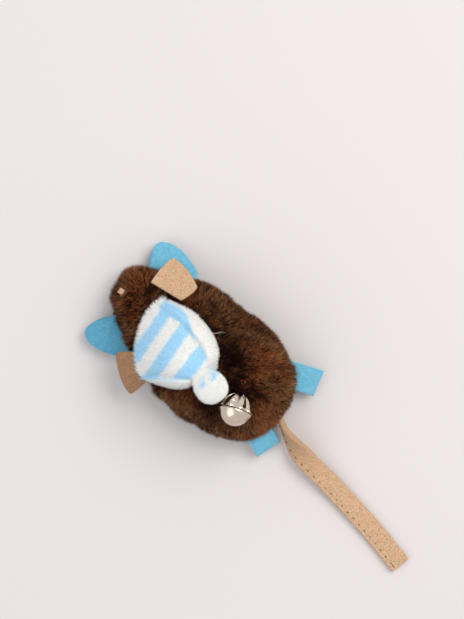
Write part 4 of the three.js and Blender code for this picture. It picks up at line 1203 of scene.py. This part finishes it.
# the last fuzz colour is a darker felt fuzz, painted shade for the left front paw
SUEDE_FUZZ, FELT_FUZZ, FELT_FUZZ_PAINTED_SHADE = "#d9b691", "#92d0e7", "#7fbdd6"


def fibres(name, points, ways, count, length, colour, body, seed):
    """Loose fibres that lie over a sheet and stand off its edge a little."""
    rng = np.random.default_rng(seed)
    pick = rng.choice(len(points), count)
    ways = ways[pick]
    starts = points[pick] + 0.12 * rng.normal(size=(count, 3))
    across = unit(along_cloth(rng.normal(size=(count, 3)), ways))
    lengths = length * rng.uniform(0.5, 1.3, count)
    curl = -0.8 * ways + 0.8 * rng.normal(size=(count, 3))
    rows = comb(starts, 0.35 * ways + across, lengths, 0, curl, 4)
    rows[..., 2] = np.maximum(rows[..., 2], FIBRE_LOWEST)
    hue = linear(colour) * (1 + 0.08 * rng.normal(size=(count, 1, 1))) * np.ones((1, 4, 1))
    widths = np.full(count, FIBRE_THICK)
    return plant(name, rows, widths, np.clip(hue, 0, 1), plush_pile, body, ways, 0.6)


print("fibres", FIBRE_THICK, "mm thick")

# %% Ears, paws and feet
LOOKS = {  # what stands out from plain felt; the left ear's suede and the left paw's felt are darker copies, painted shade
    "ear_right": (suede, SUEDE_FUZZ), "ear_left": (suede_painted_shade, SUEDE_FUZZ),
    "front_paw_left": (felt_painted_shade, FELT_FUZZ_PAINTED_SHADE)}

for k, (name, middle) in enumerate(FLAPS.items()):
    is_ear = name.startswith("ear")
    thick, wave = (SUEDE_THICK, 0.22) if is_ear else (FELT_THICK, 0.16)
    count, length = (900, 0.45) if is_ear else (2_200, 0.75)
    material, fuzz_colour = LOOKS.get(name, (felt, FELT_FUZZ))
    made, top, bottom = sheet_piece(name + "_sheet", middle, thick, wave, 301 + k)
    made.data.materials.append(material)
    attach(made, name)
    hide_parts(name)
    out = grid_normals(middle).reshape(-1, 3)
    rim = np.concatenate([middle[0], middle[-1], middle[:, 0], middle[:, -1]])
    outward = unit(rim - middle.reshape(-1, 3).mean(0))
    spots = np.concatenate([top, bottom, rim, rim, rim])  # the rim three times, since most fibres stand there
    stand = np.concatenate([out, -out, outward, outward, outward])
    fuzz = fibres(
        name + "_fuzz", spots, stand, count, length, fuzz_colour, name, 311 + k)
    print(name, len(made.data.polygons), "faces")

# %% [markdown]
# ## The tail
#
# The tail is one suede strip, folded lengthwise and sewn near its open edge. It stands on edge where it
# leaves the rump, turns over within the first third of its length, and then lies flat on the floor. A
# running stitch goes along it.

# %% The tail's route
TAIL_LENGTH, TAIL_WIDTH, FOLD_GAP, TAIL_TWIST, TAIL_BREAK = 72.0, 7.7, 0.3, 0.32, 0.2
TAIL_REST = SUEDE_THICK + FOLD_GAP / 2 + 0.12  # height of its middle where it lies on the floor
TAIL_ROUTE = np.array([  # sideways and along, as shares of its length, and how high
    [0, 0, 1], [0.026, 0.048, 0.96], [0.066, 0.165, 0.76], [0.087, 0.253, 0.5], [0.104, 0.388, 0.24],
    [0.13, 0.532, 0.08], [0.165, 0.716, 0], [0.215, 0.922, 0],
])
tail_side = 0.023 * BODY_WIDTH
tail_start = leave_body(
    np.array([[tail_side, 0.0]]), np.array([[tail_side, BODY_LENGTH]]), SEAM_CLEARANCE)[0]
TAIL_POINTS = np.stack([
    tail_start[0] + TAIL_ROUTE[:, 0] * TAIL_LENGTH, tail_start[1] + TAIL_ROUTE[:, 1] * TAIL_LENGTH + SEAT_GAP,
    TAIL_REST + TAIL_ROUTE[:, 2] * (SEAM_HEIGHT - TAIL_REST)], 1)
FINE_SHARES = np.linspace(0, 1, 400)


def tail_frame(shares):
    """Middle, wide way and thick way of the strip at shares of its length."""
    fine = course_of(TAIL_POINTS, FINE_SHARES)
    tangents = unit(np.gradient(fine, axis=0))
    middle, tangent = (
        np.stack([np.interp(shares, FINE_SHARES, values[:, k]) for k in range(3)], 1)
        for values in (fine, tangents))
    middle = middle + np.minimum(shares, 0)[:, None] * TAIL_LENGTH * tangents[0]
    level = unit(np.cross([0, 0, 1.0], tangent))
    rise = np.cross(tangent, level)
    turn = (np.pi / 2 * (1 - smooth(shares, 0, TAIL_TWIST)))[:, None]
    return middle, level * np.cos(turn) + rise * np.sin(turn), rise * np.cos(turn) - level * np.sin(turn)


print("the tail leaves the fur at", tail_start.round(1))

# %% The folded strip
TAIL_STEPS, FLAT_STEPS, BEND_STEPS = 154, 16, 11
CUT_EDGE = 0.12  # how far its two open edges lie back from its full width


def tail_sheet(shares, offset):
    """The folded strip's surface at an offset from the middle of its own thickness."""
    middle, wide, thick = tail_frame(shares)
    radius = FOLD_GAP / 2 + SUEDE_THICK / 2 + offset
    bend = TAIL_WIDTH / 2 - (SUEDE_THICK + FOLD_GAP / 2)
    flat = np.linspace(-TAIL_WIDTH / 2 + CUT_EDGE, bend, FLAT_STEPS)
    turn = np.linspace(-np.pi / 2, np.pi / 2, BEND_STEPS)[1:-1]
    a = np.concatenate([flat, bend + radius * np.cos(turn), flat[::-1]])
    b = np.concatenate([np.full(FLAT_STEPS, -radius), radius * np.sin(turn), np.full(FLAT_STEPS, radius)])
    return middle[:, None] + wide[:, None] * a[None, :, None] + thick[:, None] * b[None, :, None]


tail_shares = np.linspace(-(ROOT_DEPTH + SEAM_CLEARANCE) / TAIL_LENGTH, 1, TAIL_STEPS)
tail_strip, _, _ = sheet_piece("tail_strip", tail_sheet(tail_shares, 0.0), SUEDE_THICK, 0.05, 401)
tail_strip.data.materials.append(tail_suede)
near_root = 0.42 * (1 - smooth((vertices(tail_strip)[:, 1] - tail_start[1]) / TAIL_LENGTH, 0.08, 0.42))
tail_strip.data.attributes["second_tone"].data.foreach_set("value", near_root.astype(np.float32))
print("tail strip from", vertices(tail_strip).min(0).round(1), "to", vertices(tail_strip).max(0).round(1))

# %% Threads
def thread_piece(name, rows, thick, sides=6):
    """Closed threads of even thickness along rows of points, in millimetres."""
    count, steps = rows.shape[:2]
    tangent = unit(np.gradient(rows, axis=1))
    helper = np.where(np.abs(tangent[..., 2:]) < 0.85, np.array([0, 0, 1.0]), np.array([1.0, 0, 0]))
    side = unit(np.cross(tangent, helper))[:, :, None]
    other = np.cross(tangent[:, :, None], side)
    turn = 2 * np.pi * np.arange(sides)[:, None] / sides
    swell = np.sqrt(np.clip(1 - np.abs(np.linspace(-1, 1, steps)) ** 6, 0.12, 1))[None, :, None, None]
    points = rows[:, :, None] + (side * np.cos(turn) + other * np.sin(turn)) * swell * thick / 2
    one = tube_faces(steps, sides)
    faces = [[i + k * steps * sides for i in face] for k in range(count) for face in one]
    return closed_piece(name, points, faces)


print("thread tools are ready")

# %% Materials in two tones
def two_tone(name, tones, grain, bump=None, **surface):
    """A material that drifts between two tones, and is uneven where a bump is given.

    grain is the size of its drifts in millimetres, with their detail and roughness. bump is the same for its
    unevenness, and then its strength, and its depth in millimetres.
    """
    material, tree = new_material(name)
    spot = node(tree, "ShaderNodeTexCoord", (-900, 0)).outputs["Object"]
    size, detail, rough = grain
    cloud = node(
        tree, "ShaderNodeTexNoise", (-650, 150), Vector=spot, Scale=1 / (size * MM), Detail=detail,
        Roughness=rough)
    shade = node(
        tree, "ShaderNodeMix", (-350, 150), {"data_type": "RGBA"}, i0=cloud.outputs["Fac"], i6=tones[0],
        i7=tones[1])
    if bump:
        size, detail, rough, strength, depth = bump
        fine = node(
            tree, "ShaderNodeTexNoise", (-650, -150), Vector=spot, Scale=1 / (size * MM), Detail=detail,
            Roughness=rough)
        uneven = node(
            tree, "ShaderNodeBump", (-350, -150), Height=fine.outputs["Fac"], Strength=strength,
            Distance=depth * MM)
        surface["Normal"] = uneven.outputs[0]
    body = node(tree, "ShaderNodeBsdfPrincipled", (200, 0), Base_Color=shade.outputs[2], **surface)
    node(tree, "ShaderNodeOutputMaterial", (600, 0), Surface=body.outputs[0])
    return material


brown_thread = two_tone(  # spun polyester, two plies twisted
    "brown_sewing_thread", ("#5b3b25", "#8a6242"), (0.18, 2.0, 0.5), Roughness=0.6)
white_thread = two_tone(  # the same, undyed, with its twist showing
    "white_sewing_thread", ("#d9d5cc", "#f6f4ee"), (0.2, 2.0, 0.5), (0.2, 2.0, 0.5, 0.5, 0.08), Roughness=0.7)
print("made", brown_thread.name, "and", white_thread.name)

# %% The tail's running stitch
STITCH_PITCH, STITCH_LENGTH, STITCH_IN, STITCH_THICK, STITCH_STEPS = 3.1, 1.0, 1.7, 0.34, 7
FIRST_STITCH, LAST_STITCH = 1.4, 0.972  # where they start: in mm, and as a share of the tail's length

firsts = np.arange(FIRST_STITCH, TAIL_LENGTH * 0.94, STITCH_PITCH) / (TAIL_LENGTH * 0.97)
firsts = np.append(firsts[firsts < 0.965], LAST_STITCH)
runs = (firsts[:, None] + np.linspace(0, STITCH_LENGTH, STITCH_STEPS)[None] / TAIL_LENGTH).clip(0, 0.995)
middle, wide, thick = tail_frame(runs.ravel())
dip = 0.12 - 0.5 * np.abs(np.linspace(-1, 1, STITCH_STEPS)) ** 2.5  # each stitch starts and ends in the suede
high = FOLD_GAP / 2 + SUEDE_THICK + np.tile(dip, len(firsts))
line = middle - wide * (TAIL_WIDTH / 2 - STITCH_IN)
stitch_rows = [(line + thick * (side * high)[:, None]).reshape(-1, STITCH_STEPS, 3) for side in (1, -1)]
tail_stitch = thread_piece("tail_stitch", np.concatenate(stitch_rows), STITCH_THICK)
tail_stitch.data.materials.append(brown_thread)
print("stitches:", len(firsts), "on each side")

# %% The tail's fibres, and its pieces
tail_face = tail_sheet(tail_shares[1:-1], SUEDE_THICK / 2)
open_edges = tail_face[:, [0, -1]].reshape(-1, 3)
edge_ways = -np.repeat(tail_frame(tail_shares[1:-1])[1], 2, 0)
spots = np.concatenate([tail_face.reshape(-1, 3), np.repeat(open_edges, 4, 0)])  # most at the cut edges
stand = np.concatenate([-grid_normals(tail_face).reshape(-1, 3), np.repeat(edge_ways, 4, 0)])
tail_fuzz = fibres(
    "tail_fuzz", spots, stand, 2_600, 0.4, SUEDE_FUZZ, None, 421)

for piece in (tail_strip, tail_stitch, tail_fuzz):
    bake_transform(piece)
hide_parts("tail_root", "tail_blade")

# %% [markdown]
# ## The pom-pom and the threads
#
# The end of the cap is gathered round a ball of fibre and tied. The cloth that shows there belongs to the
# last blue stripe, so a few blue tufts stand at the neck. A tacking thread ends as a small frayed wisp
# beside the cap.

# %% The pom-pom's ball
BALL_RADIUS, BALL_ROWS, BALL_COLUMNS = 4.85, 60, 72
BALL_GATHERS, GATHER_DEPTH, BALL_LUMPS = 11, 0.07, 0.22
BALL_START, BALL_END = 16, 179  # degrees round the ball from its tied neck


def ball_grid(rows, columns, radius):
    """The pom-pom's cloth from its tied neck to its far end, with gathers that fade away from the neck."""
    down = np.radians(np.linspace(BALL_START, BALL_END, rows))[:, None]
    turn = np.radians(np.linspace(0, 360, columns + 1))[None]
    gathers = 1 + GATHER_DEPTH * smooth(np.cos(down), 0.1, 0.95) * np.cos(BALL_GATHERS * turn)
    round_neck = np.cos(turn)[..., None] * NECK_SIDE + np.sin(turn)[..., None] * NECK_TOP
    way = -np.cos(down)[..., None] * NECK_AXIS + np.sin(down)[..., None] * round_neck
    grid = POMPOM_MIDDLE + way * (radius * gathers)[..., None]
    lumps = BALL_LUMPS * drift(grid.reshape(-1, 3), 6, 501).reshape(grid.shape[:2])
    lumps[:, -1] = lumps[:, 0]
    return grid + way * lumps[..., None]


def neck_blue(points):
    """How blue the pom-pom is: two patches of the last stripe by the neck, seen from above."""
    x, y = points[:, 0], points[:, 1]
    near = np.exp(-(((x - 1.9) / 2.7) ** 2) - (((y - 6.8) / 1.5) ** 2))
    far = np.exp(-(((x - 6.3) / 1.6) ** 2) - (((y - 5.6) / 1.3) ** 2))
    ragged = 0.25 * drift(points, 1.6, 503)
    return smooth(np.maximum(near, far) + ragged, 0.34, 0.95) * (points[:, 2] > 32)


ball = ball_grid(BALL_ROWS, BALL_COLUMNS, BALL_RADIUS)
if ((grid_normals(ball) * (ball - POMPOM_MIDDLE)).sum(-1) < 0).mean() > 0.5:
    ball = ball[:, ::-1]
pompom_cloth = closed_piece("pompom_cloth", ball[:, :-1], tube_faces(BALL_ROWS, BALL_COLUMNS))
paint(pompom_cloth.data, mix(PLUSH_WHITE, PLUSH_BLUE, neck_blue(vertices(pompom_cloth))))
print("pom-pom from", vertices(pompom_cloth).min(0).round(1), "to", vertices(pompom_cloth).max(0).round(1))

# %% The pom-pom's plush, and its pieces
BALL_HAIRS = 11_000
UP = np.array([0, 0, 1.0])

roots, ways, *_ = scatter(ball, BALL_HAIRS, 511)
by_neck = smooth(ways @ -NECK_AXIS, 0.35, 0.8)
lean = 0.25 * drift_vector(roots, 1.8, 521) + 0.25 * drift_vector(roots, 6.0, 531) + np.array([0.1, 0.2, 0])
lean += 0.45 * chance(532, roots.shape)
lean = along_cloth(lean + by_neck[:, None] * (-2.2 * NECK_AXIS + np.array([0, -0.8, 1.2])), ways)
lengths = np.clip(1.3 + 0.2 * chance(541, len(roots)) + 1.6 * by_neck, 0.8, 3.0)
ball_rows = comb(roots, ways, lengths, lean, 0.4 * chance(542, roots.shape))
ball_ways = unit(ways + (0.8 + by_neck[:, None]) * UP)  # a soft ball is bright nearly all over
ball_pile = plant(
    "pompom_pile", ball_rows, np.full(len(roots), PLUSH_WIDTH), plush_colours(neck_blue(roots), 0.08, 543),
    plush_pile, "pompom", ball_ways, 0.65)
ball_pile.visible_shadow = False
pompom_cloth.data.materials.append(plush_pile)
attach(pompom_cloth, "pompom")
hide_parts("pompom")
print("pom-pom hairs:", len(ball_rows))

# %% The frayed thread end
WISP_STRANDS, WISP_STEPS, WISP_THICK, WISP_SEAT = 3, 12, 0.055, 0.9

low, high = (np.array(corner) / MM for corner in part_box("hat_thread_end"))
wisp_start = np.array([high[0] + 0.7, low[1] - 0.2])
wisp_end = np.array([low[0], high[1] + 0.2])
rng = np.random.default_rng(551)
t = np.linspace(0, 1, WISP_STEPS)
strand_rows = []
for _ in range(WISP_STRANDS):
    reach = rng.uniform(0.55, 1.05)
    straight = wisp_start + (wisp_end - wisp_start) * (t * reach)[:, None]
    spread = t**1.5 * rng.normal(size=(1, 2))[0][:, None] * 0.5
    wave = 0.16 * np.sin(t * rng.uniform(5, 9) + rng.uniform(0, 6))[:, None] * rng.normal(size=2)
    x, y = (straight + spread.T + wave).T
    z = over_back(x, y, WISP_SEAT) + 0.5 * np.sin(np.pi * t * reach) + 0.25 * rng.normal() * t
    strand_rows.append(np.column_stack([x, y, z]))
wisp = thread_piece("thread_wisp", np.array(strand_rows), WISP_THICK)
wisp.data.materials.append(white_thread)
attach(wisp, "mouse_body")
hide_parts("hat_thread_end")
print("wisp from", wisp_start.round(1), "to", wisp_end.round(1))

# %% [markdown]
# ## The bell, the nose and what is inside
#
# The bell is pressed from thin nickel-plated brass: a plain bowl and a cap whose slots leave petals, with a
# loose steel ball inside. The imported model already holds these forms, so each is copied, its seams are
# merged and its edges get the small rounding that a press and a plating bath leave. The nose is a folded
# suede tab whose edge is rounded the same way. Filling, fibre and dried leaf stay inside; they get a
# material of their own, for a part that is taken apart.

# %% Refine a packed form
def refined(source, name, edge, angle=30.0, segments=3, soften=0):
    """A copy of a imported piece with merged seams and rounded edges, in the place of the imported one."""
    bpy.ops.object.select_all(action="DESELECT")
    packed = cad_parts[source]
    made = bpy.data.objects.new(name, packed.data.copy())
    bpy.context.scene.collection.objects.link(made)
    made.data.materials.clear()
    made.data.transform(packed.matrix_world)
    bpy.context.view_layer.objects.active = made
    made.select_set(True)
    bpy.ops.object.mode_set(mode="EDIT")
    bpy.ops.mesh.select_all(action="SELECT")
    bpy.ops.mesh.remove_doubles(threshold=1e-6)
    bpy.ops.mesh.tris_convert_to_quads(face_threshold=math.radians(25), shape_threshold=math.radians(30))
    bpy.ops.object.mode_set(mode="OBJECT")
    bevel = made.modifiers.new("rounded edges", "BEVEL")
    bevel.width = edge * MM
    bevel.segments = segments
    bevel.limit_method = "ANGLE"
    bevel.angle_limit = math.radians(angle)
    bpy.ops.object.modifier_apply(modifier=bevel.name)
    if soften:
        rounder = made.modifiers.new("softened", "SUBSURF")
        rounder.levels = rounder.render_levels = soften
        bpy.ops.object.modifier_apply(modifier=rounder.name)
    bpy.ops.object.shade_smooth_by_angle(angle=math.radians(angle))
    made.select_set(False)
    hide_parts(source)
    print(name, len(packed.data.polygons), "faces became", len(made.data.polygons))
    return made


print("packed pieces:", len(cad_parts))

# %% Nickel plate
nickel, tree = new_material("nickel_plated_brass")  # bright nickel with the light scuffs of tumbling
spot = node(tree, "ShaderNodeTexCoord", (-1000, 0)).outputs["Object"]
cloud, scuff = (
    node(tree, "ShaderNodeTexNoise", (-750, y), Vector=spot, Scale=1 / (size * MM), Detail=detail,
         Roughness=rough).outputs["Fac"]
    for y, size, detail, rough in ((200, 2.4, 3.0, 0.6), (0, 0.35, 4.0, 0.7)))
gloss = node(tree, "ShaderNodeMapRange", (-450, 200), i0=cloud, i1=0.3, i2=0.7, i3=0.12, i4=0.3)
tint = node(tree, "ShaderNodeMix", (-450, 0), {"data_type": "RGBA"}, i0=cloud, i6="#dccfbf", i7="#c6b7a3")
wear = node(tree, "ShaderNodeBump", (-450, -200), Height=scuff, Strength=0.25, Distance=0.01 * MM)
surface = node(
    tree, "ShaderNodeBsdfPrincipled", (200, 0), Base_Color=tint.outputs[2], Metallic=1.0,
    Roughness=gloss.outputs[0], Normal=wear.outputs[0])
node(tree, "ShaderNodeOutputMaterial", (600, 0), Surface=surface.outputs[0])
print("made", nickel.name)

# %% Nickel plate of the petals
PETALS = 8
BELL_POLE = Vector(EYE_MIDDLE - BELL_MIDDLE).normalized()

plated_petals, tree = new_material("nickel_plated_brass_petals")  # drawn in, which leaves soft folds
spot = node(tree, "ShaderNodeTexCoord", (-1400, 0)).outputs["Object"]
own = node(
    tree, "ShaderNodeMapping", (-1200, 0), {"vector_type": "TEXTURE"}, Vector=spot,
    Location=(BELL_MIDDLE * MM).tolist(), Rotation=tuple(BELL_POLE.to_track_quat("Z", "Y").to_euler()))
angle = node(tree, "ShaderNodeTexGradient", (-1000, 0), {"gradient_type": "RADIAL"}, Vector=own.outputs[0])
waves = node(
    tree, "ShaderNodeMath", (-800, 0), {"operation": "MULTIPLY"}, i0=angle.outputs["Fac"],
    i1=2 * math.pi * PETALS)
folds = node(tree, "ShaderNodeMath", (-600, 0), {"operation": "SINE"}, i0=waves.outputs[0])
uneven = node(
    tree, "ShaderNodeTexNoise", (-600, -200), Vector=spot, Scale=1 / (1.6 * MM), Detail=3.0, Roughness=0.6)
relief = node(
    tree, "ShaderNodeMath", (-400, 0), {"operation": "ADD"}, i0=folds.outputs[0], i1=uneven.outputs["Fac"])
wear = node(tree, "ShaderNodeBump", (-200, -100), Height=relief.outputs[0], Strength=1.0, Distance=0.34 * MM)
surface = node(
    tree, "ShaderNodeBsdfPrincipled", (200, 0), Base_Color="#d6cabb", Metallic=1.0, Roughness=0.16,
    Normal=wear.outputs[0])
node(tree, "ShaderNodeOutputMaterial", (600, 0), Surface=surface.outputs[0])
print("made", plated_petals.name)

# %% The bell
PETAL_TURN = math.radians(28)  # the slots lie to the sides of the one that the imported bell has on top
hub = Matrix.Translation(BELL_MIDDLE * MM)

for source, edge in (("bell_bowl", 0.1), ("bell_petals", 0.1), ("bell_eye", 0.08), ("bell_pellet", 0.02)):
    piece = refined(source, source + "_plated", edge)
    if source == "bell_petals":
        piece.data.transform(hub @ Matrix.Rotation(PETAL_TURN, 4, BELL_POLE) @ hub.inverted())
    piece.data.materials.append(plated_petals if source == "bell_petals" else nickel)
    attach(piece, "pellet" if source == "bell_pellet" else "bell")

# %% The nose
nose = refined("nose", "nose_tab", 0.25, 40, 3, 1)
nose.data.materials.append(suede)
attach(nose, "mouse_body")

# %% The bell's thread
bell_thread = refined("bell_thread", "bell_thread_loop", 0.05, 60, 2)
bell_thread.data.materials.append(white_thread)
thread_low = Matrix.Translation((0, 0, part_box("bell_thread")[0][2]))
drawn_tight = Matrix.Diagonal((1, 1, 0.6, 1))  # the loop is drawn down into the pile, where no thread shows
bell_thread.data.transform(thread_low @ drawn_tight @ thread_low.inverted())
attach(bell_thread, "mouse_body")

# %% Filling, dried leaf and the tie
fibre = two_tone(  # crimped hollow polyester, teased open
    "teased_polyester_fibre", ("#dedbd2", "#f7f5ef"), (3.0, 4.0, 0.65), (0.5, 5.0, 0.75, 0.8, 0.5),
    Roughness=0.95, Sheen_Weight=0.3)

leaf, tree = new_material("crushed_catnip_leaf")  # crushed dried leaf and stalk
spot = node(tree, "ShaderNodeTexCoord", (-900, 0)).outputs["Object"]
crumb = node(tree, "ShaderNodeTexVoronoi", (-650, 0), Vector=spot, Scale=1 / (1.1 * MM), Randomness=1.0)
crumb_light = node(tree, "ShaderNodeSeparateColor", (-450, 150), Color=crumb.outputs["Color"])
shade = node(
    tree, "ShaderNodeMix", (-200, 150), {"data_type": "RGBA"}, i0=crumb_light.outputs[0], i6="#5d6136",
    i7="#8f8a57")
rough = node(
    tree, "ShaderNodeBump", (-200, -150), Height=crumb.outputs["Distance"], Strength=0.9, Distance=0.5 * MM)
surface = node(
    tree, "ShaderNodeBsdfPrincipled", (200, 0), Base_Color=shade.outputs[2], Roughness=0.9,
    Normal=rough.outputs[0])
node(tree, "ShaderNodeOutputMaterial", (600, 0), Surface=surface.outputs[0])

AS_PACKED = {
    "stuffing_upper": fibre, "stuffing_lower": fibre, "pompom_filling": fibre, "catnip_fill": leaf,
    "hat_tie": white_thread}
for name, material in AS_PACKED.items():
    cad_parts[name].data.materials.clear()
    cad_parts[name].data.materials.append(material)
print("with their packed shape:", ", ".join(AS_PACKED))
